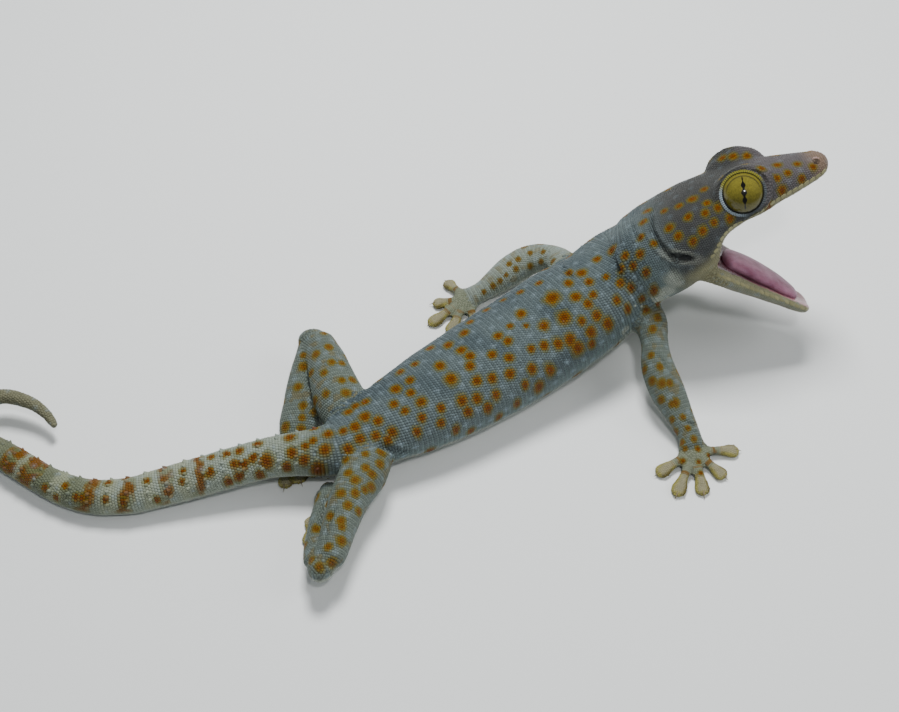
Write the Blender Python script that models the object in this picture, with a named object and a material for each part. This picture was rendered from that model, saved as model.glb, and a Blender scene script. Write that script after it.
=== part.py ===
"""A tokay gecko at life size, lying on its belly with its head raised and its mouth open.

The body is lofted along one curved spine and parted into lengths by thin gaps. Each leg
grows from it in three nodes, and each foot carries five toes with broad pads.
"""
import math
import random

import bmesh
import bpy
from mathutils import Matrix, Vector

# Driving dimensions, in millimetres
MM = 0.001
GAP = 0.3
HEAD_LENGTH = 46.2
HEAD_BASE = Vector((52.0, -1.2, 21.4))
HEAD_YAW = math.radians(-22)
HEAD_PITCH = math.radians(30)
HEAD_ROLL = math.radians(32)
GAPE = math.radians(60)
JAW_HINGE = Vector((9.0, 0.0, -1.5))
EYE_RADIUS = 5.4
EYE_CENTRE = Vector((25.0, 8.8, 7.0))
EYE_AXIS = Vector((0.12, 0.93, 0.33)).normalized()
EYE_OPENING = 4.9
BROW_OFFSET = Vector((0.3, -1.3, 0.2))
BROW_RADII = (8.2, 5.8, 6.1)
EAR = Vector((3.0, 14.4, 6.2))
EAR_RADII = (1.2, 2.4, 3.0)
EAR_LEAN = math.radians(12)
NOSTRIL = Vector((43.4, 4.4, 4.0))
NOSTRIL_AXIS = Vector((-0.4, -1.2, -0.4))
NOSTRIL_RADIUS = 0.7
PAD_HALF_WIDTH = 2.6
TOE_RADIUS = 1.4
CLAW_LENGTH = 1.3

# Tubercles: cones in rows across the back and in whorls round the tail
ROW_SPACING = 7.0
ROW_ANGLES = (8, 30, 52)
HIP_ANGLES = (6, 20)
WHORL_SPACING = 5.6
WHORL_ANGLES = (18, 56)
TUBERCLE_RADIUS = 0.95
BACK_TUBERCLE_HEIGHT = 0.6
TAIL_TUBERCLE_HEIGHT = 0.9
TUBERCLE_ROOT = 0.6
BACK_LEAN = 0.2
TAIL_LEAN = 0.5
TUBERCLE_MARGIN = 1.9
TUBERCLE_SIDES = 6
TUBERCLE_SEED = 11

# How far the neck runs on before the head cuts it off, and its size about the head's base
NECK_OVERRUN = 3.0
NECK_GUIDES = ((-5.0, 0.9), (0.0, 0.98), (5.0, 0.85))

# How square the upper and lower halves of a section are, 2 being an ellipse
BODY_SQUARENESS = (2.0, 2.3)
HEAD_SQUARENESS = (2.3, 3.2)

# Sides and spacing of the lofted rings
BODY_SIDES = 20
TAIL_SIDES = 14
HEAD_SIDES = 20
LIMB_SIDES = 12
TOE_SIDES = 6
BODY_STEP = 4.5
TAIL_STEP = 4.0
LIMB_STEP = 3.5
TOE_STEP = 2.4

# Stations hold x, y, z, half width, rise above and drop below the centre line
TAIL_STATIONS = (
    (-92.9, 47.6, 4.2, 0.9, 0.9, 0.9),
    (-93.2, 51.8, 5.2, 1.3, 1.3, 1.3),
    (-95.5, 57.0, 6.2, 1.7, 1.6, 1.6),
    (-100.7, 62.1, 6.6, 2.0, 1.9, 1.9),
    (-107.6, 62.0, 6.0, 2.4, 2.3, 2.3),
    (-109.4, 55.3, 5.0, 2.9, 2.8, 2.8),
    (-106.7, 48.6, 4.0, 3.4, 3.2, 3.3),
    (-97.7, 30.0, 3.7, 3.8, 3.7, 3.9),
    (-87.8, 21.1, 4.1, 4.2, 4.1, 4.3),
    (-73.6, 15.8, 5.4, 4.6, 4.5, 4.6),
    (-54.8, 8.7, 8.2, 4.9, 4.5, 4.5),
)
TRUNK_STATIONS = (
    (-43.6, 2.9, 8.6, 6.2, 5.4, 5.0),
    (-35.9, 1.9, 8.4, 8.0, 6.3, 6.6),
    (-17.4, 1.4, 8.9, 12.0, 8.3, 9.1),
    (0.0, 1.4, 9.4, 13.6, 9.8, 9.8),
    (13.2, 1.4, 10.6, 14.0, 10.2, 10.3),
    (25.0, 1.3, 13.0, 13.9, 10.4, 10.4),
    (34.2, 1.3, 15.0, 12.9, 10.0, 10.5),
)

# Head stations, in the head's own frame with the lip line at z = 0 and the ear at x = 0
# Each holds x, centre height, half width, rise, drop and the depth of the palate
HEAD_STATIONS = (
    (-5.0, 1.2, 14.2, 10.8, 9.8, 0.0),
    (0.0, 1.4, 15.2, 11.4, 9.8, 0.0),
    (6.0, 1.5, 16.0, 11.5, 9.2, 0.0),
    (12.0, 2.0, 15.8, 10.9, 8.2, 0.0),
    (17.0, 3.2, 14.4, 9.2, 3.6, 0.8),
    (22.0, 3.9, 12.6, 7.8, 3.9, 2.0),
    (28.0, 3.7, 10.8, 7.1, 4.4, 2.0),
    (34.0, 3.2, 8.9, 5.7, 4.0, 1.8),
    (39.0, 2.6, 7.2, 4.2, 3.4, 1.4),
    (43.0, 2.1, 5.6, 3.1, 2.8, 0.8),
    (HEAD_LENGTH, 1.9, 4.2, 2.3, 2.2, 0.3),
)
# The lower jaw as it lies when the mouth is shut
JAW_STATIONS = (
    (8.0, -4.0, 14.4, 3.2, 4.4, 0.6),
    (16.0, -3.2, 13.4, 3.0, 3.6, 1.4),
    (24.0, -2.7, 11.0, 2.5, 2.8, 1.4),
    (32.0, -2.2, 8.4, 2.1, 2.2, 1.2),
    (38.0, -1.9, 6.4, 1.8, 1.8, 0.8),
    (43.0, -1.7, 4.4, 1.5, 1.4, 0.2),
)
TONGUE_STATIONS = (
    (17.0, -0.8, 5.8, 1.5, 2.0, 0.0),
    (24.0, -0.1, 6.4, 1.7, 2.2, 0.0),
    (32.0, 0.0, 5.4, 1.5, 2.0, 0.0),
    (38.5, -0.5, 3.0, 1.0, 1.4, 0.0),
)

# Limb stations, from root to wrist or ankle
ARM_RIGHT = (
    (39.0, -4.0, 14.5, 5.4, 5.4, 5.4),
    (41.0, -11.5, 14.2, 4.6, 4.6, 4.6),
    (38.8, -17.0, 12.4, 3.4, 3.4, 3.4),
    (36.3, -21.6, 10.0, 4.0, 3.9, 3.9),
    (35.0, -27.0, 7.6, 4.4, 4.0, 4.0),
    (34.0, -33.0, 5.2, 3.6, 3.2, 3.2),
    (33.0, -38.6, 3.4, 2.9, 2.4, 2.4),
    (31.6, -42.6, 2.3, 3.2, 1.8, 2.3),
)
ARM_LEFT = (
    (32.0, 6.0, 13.0, 5.0, 5.0, 5.0),
    (35.6, 14.5, 11.8, 4.4, 4.4, 4.4),
    (36.8, 20.5, 9.6, 3.6, 3.6, 3.6),
    (33.2, 25.4, 7.6, 4.0, 3.8, 3.8),
    (27.0, 26.4, 6.0, 4.2, 3.8, 3.8),
    (21.5, 26.3, 4.6, 3.4, 3.1, 3.1),
    (17.4, 26.6, 3.4, 2.8, 2.4, 2.4),
    (13.6, 27.4, 2.3, 3.2, 1.8, 2.3),
)
THIGH_RIGHT = (
    (-33.0, -1.0, 8.2, 5.2, 4.6, 4.8),
    (-38.6, -7.0, 9.0, 5.6, 4.8, 5.0),
    (-45.0, -11.2, 9.2, 4.8, 4.5, 4.5),
    (-51.5, -16.8, 8.8, 4.0, 3.9, 3.9),
    (-58.6, -23.6, 8.2, 3.3, 3.3, 3.3),
)
SHANK_RIGHT = (
    (-60.3, -21.4, 7.2, 2.9, 2.9, 2.9),
    (-57.4, -17.0, 6.0, 3.2, 3.0, 3.0),
    (-52.4, -10.6, 4.9, 3.1, 2.8, 2.8),
    (-47.6, -5.2, 4.0, 2.7, 2.3, 2.3),
    (-45.4, -3.2, 2.8, 2.6, 1.6, 2.2),
)
THIGH_LEFT = (
    (-33.4, 4.0, 8.0, 6.4, 4.6, 4.8),
    (-33.4, 12.2, 8.8, 6.4, 5.0, 5.0),
    (-31.6, 19.6, 9.0, 5.6, 4.8, 4.8),
    (-29.7, 26.4, 8.7, 4.9, 4.3, 4.3),
    (-28.0, 34.2, 8.3, 3.6, 3.5, 3.5),
)
SHANK_LEFT = (
    (-30.2, 32.6, 7.6, 3.2, 3.2, 3.2),
    (-34.6, 28.0, 6.6, 3.5, 3.4, 3.4),
    (-40.0, 21.2, 5.2, 4.2, 3.4, 3.4),
    (-43.8, 15.6, 4.2, 4.8, 3.0, 3.2),
    (-46.8, 11.6, 2.8, 4.2, 2.2, 2.6),
)

# Middles of the hind feet
PALM_RIGHT = (-47.8, -5.4, 1.5)
PALM_LEFT = (-48.4, 12.0, 1.6)

# Toe tips of each foot, from the thumb round to the outer toe
HAND_RIGHT_TIPS = ((41.6, -48.2), (33.6, -52.4), (25.8, -53.2), (20.2, -49.6), (20.2, -42.2))
HAND_LEFT_TIPS = ((13.0, 37.0), (5.4, 32.2), (0.8, 26.6), (3.4, 20.8), (10.6, 18.0))
FOOT_RIGHT_TIPS = ((-56.0, -8.6), (-58.4, -12.4), (-57.4, -15.8), (-54.2, -17.6), (-48.8, -15.4))
FOOT_LEFT_TIPS = ((-42.5, 7.5), (-46.0, 2.2), (-50.8, 2.6), (-55.1, 3.7), (-57.4, 9.8))

# Surface looks
SKIN = (0.21, 0.26, 0.28)
SKIN_ROUGHNESS = 0.6
MOUTH = (0.48, 0.26, 0.33)
EYE = (0.33, 0.29, 0.02)
EYE_ROUGHNESS = 0.12

# The least share of its volume that a cut leaves of any piece
LEAST_LEFT = 0.25

SMOOTH_ANGLE = math.radians(50)
SPLINE_STEPS = 24


def clear_scene():
    for obj in list(bpy.data.objects):
        bpy.data.objects.remove(obj, do_unlink=True)


def material(name, colour, roughness):
    mat = bpy.data.materials.new(name)
    mat.use_nodes = True
    shader = mat.node_tree.nodes["Principled BSDF"]
    shader.inputs["Base Color"].default_value = (*colour, 1.0)
    shader.inputs["Roughness"].default_value = roughness
    shader.inputs["Metallic"].default_value = 0.0
    return mat


def mix(a, b, t):
    return tuple(p + (q - p) * t for p, q in zip(a, b))


def catmull_rom(p0, p1, p2, p3, t):
    """One value set between p1 and p2, with tangents from the outer two."""
    return tuple(
        0.5 * (2 * b + (c - a) * t + (2 * a - 5 * b + 4 * c - d) * t ** 2
               + (3 * b - a - 3 * c + d) * t ** 3)
        for a, b, c, d in zip(p0, p1, p2, p3))


def mirrored_end(a, b):
    return tuple(2 * p - q for p, q in zip(a, b))


class Path:
    """A smooth line through stations, read by the distance along it."""

    def __init__(self, stations):
        rows = [mirrored_end(stations[0], stations[1]), *stations,
                mirrored_end(stations[-1], stations[-2])]
        self.rows = []
        self.station_at = []
        for i in range(len(stations) - 1):
            self.station_at.append(len(self.rows))
            for k in range(SPLINE_STEPS):
                self.rows.append(catmull_rom(*rows[i:i + 4], k / SPLINE_STEPS))
        self.station_at.append(len(self.rows))
        self.rows.append(tuple(stations[-1]))
        self.lengths = [0.0]
        for a, b in zip(self.rows, self.rows[1:]):
            self.lengths.append(self.lengths[-1] + math.dist(a[:3], b[:3]))

    @property
    def length(self):
        return self.lengths[-1]

    def distance(self, station):
        return self.lengths[self.station_at[station]]

    def row(self, s):
        s = min(max(s, 0.0), self.length)
        i = 0
        while i < len(self.lengths) - 2 and self.lengths[i + 1] < s:
            i += 1
        span = self.lengths[i + 1] - self.lengths[i]
        return mix(self.rows[i], self.rows[i + 1], (s - self.lengths[i]) / span)

    def tangent(self, s):
        step = 0.4
        ahead = Vector(self.row(s + step)[:3])
        behind = Vector(self.row(s - step)[:3])
        return (ahead - behind).normalized()

    def frame(self, s, roll=0.0):
        """Centre, left and up of the cross section at a distance."""
        forward = self.tangent(s)
        left = Vector((0, 0, 1)).cross(forward).normalized()
        turn = Matrix.Rotation(-roll, 3, forward)
        left = turn @ left
        return Vector(self.row(s)[:3]), left, forward.cross(left)


def section_point(angle, half_width, rise, drop, hollow, squareness):
    """A point on a superellipse whose underside may be hollowed between its edges."""
    power = 2.0 / squareness
    across = half_width * math.copysign(abs(math.cos(angle)) ** power, math.cos(angle))
    height = abs(math.sin(angle)) ** power
    if math.sin(angle) >= 0:
        return across, rise * height
    inner = max(0.0, 1.0 - (across / (0.82 * half_width)) ** 2)
    return across, hollow * inner - drop * height


def ring_points(centre, left, up, sizes, sides, squareness):
    """Points round one cross section, from the left side over the back."""
    half_width, rise, drop, hollow = sizes
    points = []
    for k in range(sides):
        angle = 2 * math.pi * (k + 0.5) / sides
        power = squareness[0] if math.sin(angle) >= 0 else squareness[1]
        across, height = section_point(angle, half_width, rise, drop, hollow, power)
        points.append(centre + left * across + up * height)
    return points


def round_places(radius):
    """Distances and scales of the rings that round off an end."""
    angles = (math.radians(22), math.radians(45), math.radians(68))
    return [(radius * (1 - math.cos(a)), math.sin(a)) for a in angles]


def ring_places(start, end, step, round_start, round_end):
    """Distance and scale of every ring between two ends, rounded or flat."""
    places = []
    if round_start:
        places += [(start + d, scale) for d, scale in round_places(round_start)]
    first = start + round_start
    last = end - round_end
    count = max(1, round((last - first) / step))
    places += [(first + (last - first) * i / count, 1.0) for i in range(count + 1)]
    if round_end:
        places += [(end - d, scale) for d, scale in reversed(round_places(round_end))]
    return places


def bridge(bm, ring_a, ring_b):
    for k in range(len(ring_a)):
        n = (k + 1) % len(ring_a)
        bm.faces.new((ring_a[k], ring_b[k], ring_b[n], ring_a[n]))


def cap(bm, ring, pole):
    """Close an end with a fan round its pole."""
    tip = bm.verts.new(pole)
    for k in range(len(ring)):
        bm.faces.new((ring[k], ring[(k + 1) % len(ring)], tip))


def skin_rings(bm, rings, start_pole, end_pole):
    loops = [[bm.verts.new(p) for p in ring] for ring in rings]
    for a, b in zip(loops, loops[1:]):
        bridge(bm, a, b)
    cap(bm, loops[0], start_pole)
    cap(bm, loops[-1], end_pole)


def finish_mesh(bm, name):
    bmesh.ops.triangulate(bm, faces=bm.faces)
    bmesh.ops.recalc_face_normals(bm, faces=bm.faces)
    mesh = bpy.data.meshes.new(name)
    bm.to_mesh(mesh)
    bm.free()
    return mesh


def add_object(name, mesh, collection):
    obj = bpy.data.objects.new(name, mesh)
    collection.objects.link(obj)
    return obj


def loft(path, start, end, step, sides, rounds=(0.0, 0.0), turn_at=None):
    """A closed mesh along part of a path, turned and squared to the head where it meets it."""
    bm = bmesh.new()
    rings = []
    for s, scale in ring_places(start, end, step, *rounds):
        row = path.row(s)
        turn = turn_at(s) if turn_at else 0.0
        centre, left, up = path.frame(s, HEAD_ROLL * turn)
        sizes = [value * scale for value in (*row[3:6], 0.0)]
        rings.append(ring_points(centre, left, up, sizes, sides,
                                 mix(BODY_SQUARENESS, HEAD_SQUARENESS, turn)))
    skin_rings(bm, rings, path.row(start)[:3], path.row(end)[:3])
    return finish_mesh(bm, "loft")


def applied(obj):
    """Bake an object's modifiers into its mesh."""
    graph = bpy.context.evaluated_depsgraph_get()
    mesh = bpy.data.meshes.new_from_object(obj.evaluated_get(graph))
    obj.modifiers.clear()
    obj.data = mesh


def volume_if_closed(mesh):
    """The volume within a mesh, or nothing where it is open."""
    bm = bmesh.new()
    bm.from_mesh(mesh)
    closed = bool(bm.edges) and all(len(edge.link_faces) == 2 for edge in bm.edges)
    volume = bm.calc_volume() if closed else 0.0
    bm.free()
    return volume


def boolean(obj, operation, operand):
    """Apply a Boolean by EXACT, or by MANIFOLD where that leaves an open or all but empty mesh."""
    source = obj.data
    least = volume_if_closed(source) * LEAST_LEFT
    for solver in ("EXACT", "MANIFOLD"):
        obj.data = source
        modifier = obj.modifiers.new(operation.title(), "BOOLEAN")
        modifier.operation = operation
        modifier.solver = solver
        if isinstance(operand, bpy.types.Collection):
            modifier.operand_type = "COLLECTION"
            modifier.collection = operand
        else:
            modifier.object = operand
        applied(obj)
        if volume_if_closed(obj.data) > least:
            return


def keep_largest(obj):
    """Keep the largest closed surface, so that no loose scrap stays."""
    bm = bmesh.new()
    bm.from_mesh(obj.data)
    bm.verts.ensure_lookup_table()
    left = set(bm.verts)
    groups = []
    while left:
        stack = [left.pop()]
        group = set(stack)
        while stack:
            for edge in stack.pop().link_edges:
                for vert in edge.verts:
                    if vert in left:
                        left.discard(vert)
                        group.add(vert)
                        stack.append(vert)
        groups.append(group)
    largest = max(groups, key=len)
    loose = [v for v in bm.verts if v not in largest]
    bmesh.ops.delete(bm, geom=loose, context="VERTS")
    bm.to_mesh(obj.data)
    bm.free()


def swollen(obj, distance, collection):
    """A cutter: the object's surface moved out evenly by a distance."""
    bm = bmesh.new()
    bm.from_mesh(obj.data)
    bmesh.ops.recalc_face_normals(bm, faces=bm.faces)
    bm.normal_update()
    moves = [(v, v.normal * distance * min(v.calc_shell_factor(), 2.0)) for v in bm.verts]
    for vert, move in moves:
        vert.co += move
    cutter = add_object(obj.name + "_clearance", finish_mesh(bm, "clearance"), collection)
    cutter.hide_render = True
    cutter.display_type = "WIRE"
    return cutter


def cut_clear(obj, neighbours, collection):
    """Take away what would touch the neighbours, with a gap left all round."""
    for neighbour in neighbours:
        cutter = swollen(neighbour, GAP, collection)
        boolean(obj, "DIFFERENCE", cutter)
        bpy.data.objects.remove(cutter, do_unlink=True)
    keep_largest(obj)


def stand_on_floor(obj):
    """Flatten what would reach below the floor into a small flat on it."""
    for vert in obj.data.vertices:
        vert.co.z = max(vert.co.z, 0.0)


def boolean_with_all(obj, meshes, operation, cutters):
    """One Boolean between an object and a collection of closed meshes."""
    pieces = bpy.data.collections.new(obj.name + "_pieces")
    cutters.children.link(pieces)
    for i, mesh in enumerate(meshes):
        piece = add_object(f"{obj.name}_piece_{i}", mesh, pieces)
        piece.hide_render = True
        piece.display_type = "WIRE"
    boolean(obj, operation, pieces)
    for piece in list(pieces.objects):
        bpy.data.objects.remove(piece, do_unlink=True)
    bpy.data.collections.remove(pieces)


def fuse(name, meshes, parts, cutters):
    """Join closed meshes into one object by a single union."""
    body = add_object(name, meshes[0], parts)
    boolean_with_all(body, meshes[1:], "UNION", cutters)
    keep_largest(body)
    return body


def subtract(obj, meshes, cutters):
    boolean_with_all(obj, meshes, "DIFFERENCE", cutters)


def head_matrix():
    """The head's frame: x along the lip line, y to its left, z over its crown."""
    turn = (Matrix.Rotation(HEAD_YAW, 4, "Z") @ Matrix.Rotation(-HEAD_PITCH, 4, "Y")
            @ Matrix.Rotation(-HEAD_ROLL, 4, "X"))
    return Matrix.Translation(HEAD_BASE) @ turn


def jaw_matrix():
    """Turns the shut lower jaw open about its hinge."""
    swing = Matrix.Rotation(GAPE, 4, "Y")
    return Matrix.Translation(JAW_HINGE) @ swing @ Matrix.Translation(-JAW_HINGE)


def head_loft(stations, step, sides, nose, flip, squareness):
    """A loft straight along the head's own x axis."""
    path = Path([(x, 0.0, z, width, rise, drop, hollow)
                 for x, z, width, rise, drop, hollow in stations])
    bm = bmesh.new()
    rings = []
    for s, scale in ring_places(0.0, path.length, step, 0.0, nose):
        x, _, z, width, rise, drop, hollow = path.row(s)
        centre = Vector((x, 0.0, z))
        up = Vector((0, 0, -1 if flip else 1))
        sizes = [width * scale, rise * scale, drop * scale, hollow * scale]
        rings.append(ring_points(centre, Vector((0, 1, 0)), up, sizes, sides, squareness))
    skin_rings(bm, rings, path.row(0)[:3], path.row(path.length)[:3])
    return finish_mesh(bm, "head loft")


def ellipsoid(centre, radii, turn=None, segments=14, rings=8):
    bm = bmesh.new()
    bmesh.ops.create_uvsphere(bm, u_segments=segments, v_segments=rings, radius=1.0)
    shape = Matrix.Diagonal((*radii, 1.0))
    place = Matrix.Translation(centre) @ (turn or Matrix.Identity(4)) @ shape
    bmesh.ops.transform(bm, matrix=place, verts=bm.verts)
    return finish_mesh(bm, "ellipsoid")


def rod(start, end, radius, segments=16, tip_radius=None):
    """A closed cylinder or cone between two points."""
    start = Vector(start)
    end = Vector(end)
    bm = bmesh.new()
    bmesh.ops.create_cone(bm, cap_ends=True, segments=segments, radius1=radius,
                          radius2=radius if tip_radius is None else tip_radius,
                          depth=(end - start).length)
    turn = (end - start).to_track_quat("Z", "Y").to_matrix().to_4x4()
    place = Matrix.Translation((start + end) / 2) @ turn
    bmesh.ops.transform(bm, matrix=place, verts=bm.verts)
    return finish_mesh(bm, "rod")


def mirrored(point, side):
    return Vector((point[0], point[1] * side, point[2]))


def ring_band(centre, axis, major, minor, segments=18, sides=6):
    """A closed torus round an axis."""
    bm = bmesh.new()
    turn = axis.to_track_quat("Z", "Y").to_matrix()
    loops = []
    for i in range(segments):
        a = 2 * math.pi * i / segments
        out = turn @ Vector((math.cos(a), math.sin(a), 0))
        loop = []
        for k in range(sides):
            b = 2 * math.pi * k / sides
            reach = major + minor * math.cos(b)
            loop.append(bm.verts.new(centre + out * reach + axis * minor * math.sin(b)))
        loops.append(loop)
    for i in range(segments):
        bridge(bm, loops[i], loops[(i + 1) % segments])
    return finish_mesh(bm, "ring band")


def head_hollows(side):
    """Cutters for the eye socket, the ear cup and the nostril of one side."""
    centre = mirrored(EYE_CENTRE, side)
    axis = mirrored(EYE_AXIS, side)
    nostril = mirrored(NOSTRIL, side)
    inward = mirrored(NOSTRIL_AXIS, side)
    lean = Matrix.Rotation(EAR_LEAN, 4, "Y")
    return [
        rod(centre + axis * 1.9, centre + axis * 9.0, EYE_OPENING, 16),
        ellipsoid(centre, (EYE_RADIUS + GAP,) * 3, segments=16, rings=10),
        ellipsoid(mirrored(EAR, side), EAR_RADII, lean, 10, 6),
        rod(nostril - inward, nostril + inward, NOSTRIL_RADIUS, 8),
    ]


def head(parts, cutters):
    """Skull, cheeks and upper jaw, with brows, eye rims, ears and nostrils."""
    meshes = [head_loft(HEAD_STATIONS, 3.4, HEAD_SIDES, 2.6, False, HEAD_SQUARENESS)]
    for side in (-1, 1):
        centre = mirrored(EYE_CENTRE, side)
        axis = mirrored(EYE_AXIS, side)
        meshes.append(ellipsoid(centre + mirrored(BROW_OFFSET, side), BROW_RADII, None, 12, 7))
        meshes.append(ring_band(centre + axis * 2.4, axis, EYE_OPENING + 0.4, 0.75, 16, 5))
    obj = fuse("head", meshes, parts, cutters)
    subtract(obj, [*head_hollows(-1), *head_hollows(1)], cutters)
    keep_largest(obj)
    return obj


def lower_jaw(parts, cutters, upper):
    mesh = head_loft(flipped(JAW_STATIONS), 3.6, HEAD_SIDES, 2.6, True, (2.2, 3.4))
    obj = add_object("lower_jaw", mesh, parts)
    obj.data.transform(jaw_matrix())
    cut_clear(obj, [upper], cutters)
    return obj


def flipped(stations):
    """The same stations for a section whose hollow faces up."""
    return [(x, z, width, drop, rise, hollow) for x, z, width, rise, drop, hollow in stations]


def tongue(parts, cutters, neighbours):
    mesh = head_loft(TONGUE_STATIONS, 3.0, 12, 2.0, False, (2.2, 2.2))
    obj = add_object("tongue", mesh, parts)
    obj.data.transform(jaw_matrix())
    cut_clear(obj, neighbours, cutters)
    return obj


def eye(name, side, parts):
    mesh = ellipsoid(mirrored(EYE_CENTRE, side), (EYE_RADIUS,) * 3, segments=16, rings=10)
    return add_object(name, mesh, parts)


def head_nodes(parts, cutters):
    upper = head(parts, cutters)
    jaw = lower_jaw(parts, cutters, upper)
    tongue_obj = tongue(parts, cutters, [upper, jaw])
    nodes = [upper, jaw, tongue_obj, eye("eye_left", 1, parts), eye("eye_right", -1, parts)]
    for obj in nodes:
        obj.data.transform(head_matrix())
    return upper, jaw


def spine_path():
    """Tail tip to the head's base, held square to the head by guides on both sides."""
    place = head_matrix()
    x, z, width, rise, drop, _ = HEAD_STATIONS[0]
    ends = [(*(place @ Vector((x + offset, 0.0, z))), width * scale, rise * scale, drop * scale)
            for offset, scale in NECK_GUIDES]
    return Path([*TAIL_STATIONS, *TRUNK_STATIONS, *ends])


def spine_marks(path):
    """Distances of the tail's root, the neck's start and the head's base."""
    tail = len(TAIL_STATIONS)
    trunk = len(TRUNK_STATIONS)
    return path.distance(tail), path.distance(tail + trunk - 1), path.distance(tail + trunk + 1)


def neck_turn(s, neck_start, neck_end):
    """How far the neck has turned from the level trunk to the rolled head."""
    t = min(max((s - neck_start + 8.0) / (neck_end - neck_start + 8.0), 0.0), 1.0)
    return t * t * (3 - 2 * t)


def spine_nodes(parts):
    """Tail, trunk and neck as lofts parted by thin gaps, with the distances of the cuts."""
    path = spine_path()
    tail_root, neck_start, neck_end = spine_marks(path)
    trunk = neck_start - tail_root
    cuts = (
        ("tail_tip", 0.0, TAIL_SIDES, 3.2),
        ("tail_end", 26.0, TAIL_SIDES, TAIL_STEP),
        ("tail_middle", 58.0, TAIL_SIDES, TAIL_STEP),
        ("tail_base", 90.0, TAIL_SIDES, TAIL_STEP),
        ("hips", tail_root, BODY_SIDES, BODY_STEP),
        ("belly", tail_root + trunk * 0.28, BODY_SIDES, BODY_STEP),
        ("chest", tail_root + trunk * 0.68, BODY_SIDES, BODY_STEP),
        ("neck", neck_start, BODY_SIDES, BODY_STEP),
    )
    ends = [start for _, start, _, _ in cuts[1:]] + [neck_end]
    nodes = {}
    spans = {}
    for (name, start, sides, step), end in zip(cuts, ends):
        first = start + (GAP / 2 if start else 0.0)
        last = end + (NECK_OVERRUN if name == "neck" else -GAP / 2)
        rounds = (0.0 if start else 0.9, 0.0)
        mesh = loft(path, first, last, step, sides, rounds,
                    lambda s: neck_turn(s, neck_start, neck_end))
        nodes[name] = add_object(name, mesh, parts)
        stand_on_floor(nodes[name])
        spans[name] = (first, last)
    return nodes, spans


def tubercle(path, s, angle, height, lean):
    """One cone on the skin, its root sunk in and its tip leant towards the tail."""
    row = path.row(s)
    centre, left, up = path.frame(s)
    across = math.cos(angle)
    over = math.sin(angle)
    seat = centre + left * across * row[3] + up * over * row[4]
    outward = (left * across / row[3] + up * over / row[4]).normalized()
    tip = (outward - path.tangent(s) * lean).normalized()
    spread = (height + TUBERCLE_ROOT) / height
    return rod(seat - outward * TUBERCLE_ROOT, seat + tip * height,
               TUBERCLE_RADIUS * spread, TUBERCLE_SIDES, 0.0)


def tubercle_places(span, spacing, angles):
    """Staggered rows of places between the ends of one node."""
    first = span[0] + TUBERCLE_MARGIN
    last = span[1] - TUBERCLE_MARGIN
    count = max(1, round((last - first) / spacing))
    places = []
    for i in range(count + 1):
        s = first + (last - first) * i / count
        shift = (i % 2) * (angles[1] - angles[0]) / 2
        for angle in angles:
            for side in (-1, 1):
                places.append((s, 90 + side * (angle + shift)))
    return places


def grow_tubercles(nodes, spans, cutters):
    """Fuse the cones of each length of back and tail with it."""
    path = spine_path()
    draw = random.Random(TUBERCLE_SEED)
    groups = [("hips", ROW_SPACING, HIP_ANGLES, BACK_TUBERCLE_HEIGHT, BACK_LEAN)]
    groups += [(name, ROW_SPACING, ROW_ANGLES, BACK_TUBERCLE_HEIGHT, BACK_LEAN)
               for name in ("belly", "chest")]
    groups += [(name, WHORL_SPACING, WHORL_ANGLES, TAIL_TUBERCLE_HEIGHT, TAIL_LEAN)
               for name in ("tail_base", "tail_middle", "tail_end")]
    for name, spacing, angles, height, lean in groups:
        low = spans[name][0] + TUBERCLE_MARGIN
        high = spans[name][1] - TUBERCLE_MARGIN
        cones = []
        for s, degrees in tubercle_places(spans[name], spacing, angles):
            at = min(max(s + draw.uniform(-0.5, 0.5), low), high)
            angle = math.radians(degrees + draw.uniform(-3, 3))
            cones.append(tubercle(path, at, angle, height * draw.uniform(0.8, 1.2), lean))
        boolean_with_all(nodes[name], cones, "UNION", cutters)
        keep_largest(nodes[name])


def toe_meshes(palm, tips):
    """Five toes with broad pads and small claws."""
    meshes = []
    for tip in tips:
        end = Vector((*tip, 0.9))
        start = Vector(palm)
        along = (end - start).normalized()
        middle = start.lerp(end, 0.5)
        middle.z = 1.5
        pad = start.lerp(end, 0.8)
        path = Path([
            (*start, 1.4, 1.0, 1.2),
            (*middle, TOE_RADIUS, 1.0, 1.1),
            (*pad[:2], 1.0, PAD_HALF_WIDTH, 0.8, 1.1),
            (*end[:2], 0.9, PAD_HALF_WIDTH * 0.7, 0.7, 1.0),
        ])
        meshes.append(loft(path, 0.0, path.length, TOE_STEP, TOE_SIDES, (0.0, 1.3)))
        root = end - along * 1.6 + Vector((0, 0, 0.5))
        point = end + along * CLAW_LENGTH
        meshes.append(rod(root, (point.x, point.y, 0.35), 0.6, 5, 0.08))
    return meshes


def foot(name, wrist, palm, tips, clear, parts, cutters):
    meshes = [ellipsoid(Vector(palm), (4.0, 4.0, 1.7), segments=12, rings=6)]
    meshes += toe_meshes(palm, tips)
    obj = fuse(name, meshes, parts, cutters)
    stand_on_floor(obj)
    cut_clear(obj, [*clear, wrist], cutters)
    return obj


def limb_node(name, stations, start, end, rounds, clear, parts, cutters):
    path = Path(stations)
    last = path.length if end is None else path.distance(end) - GAP / 2
    first = path.distance(start) + (GAP / 2 if start else 0.0)
    mesh = loft(path, first, last, LIMB_STEP, LIMB_SIDES, rounds)
    obj = add_object(name, mesh, parts)
    stand_on_floor(obj)
    cut_clear(obj, clear, cutters)
    return obj


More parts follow.
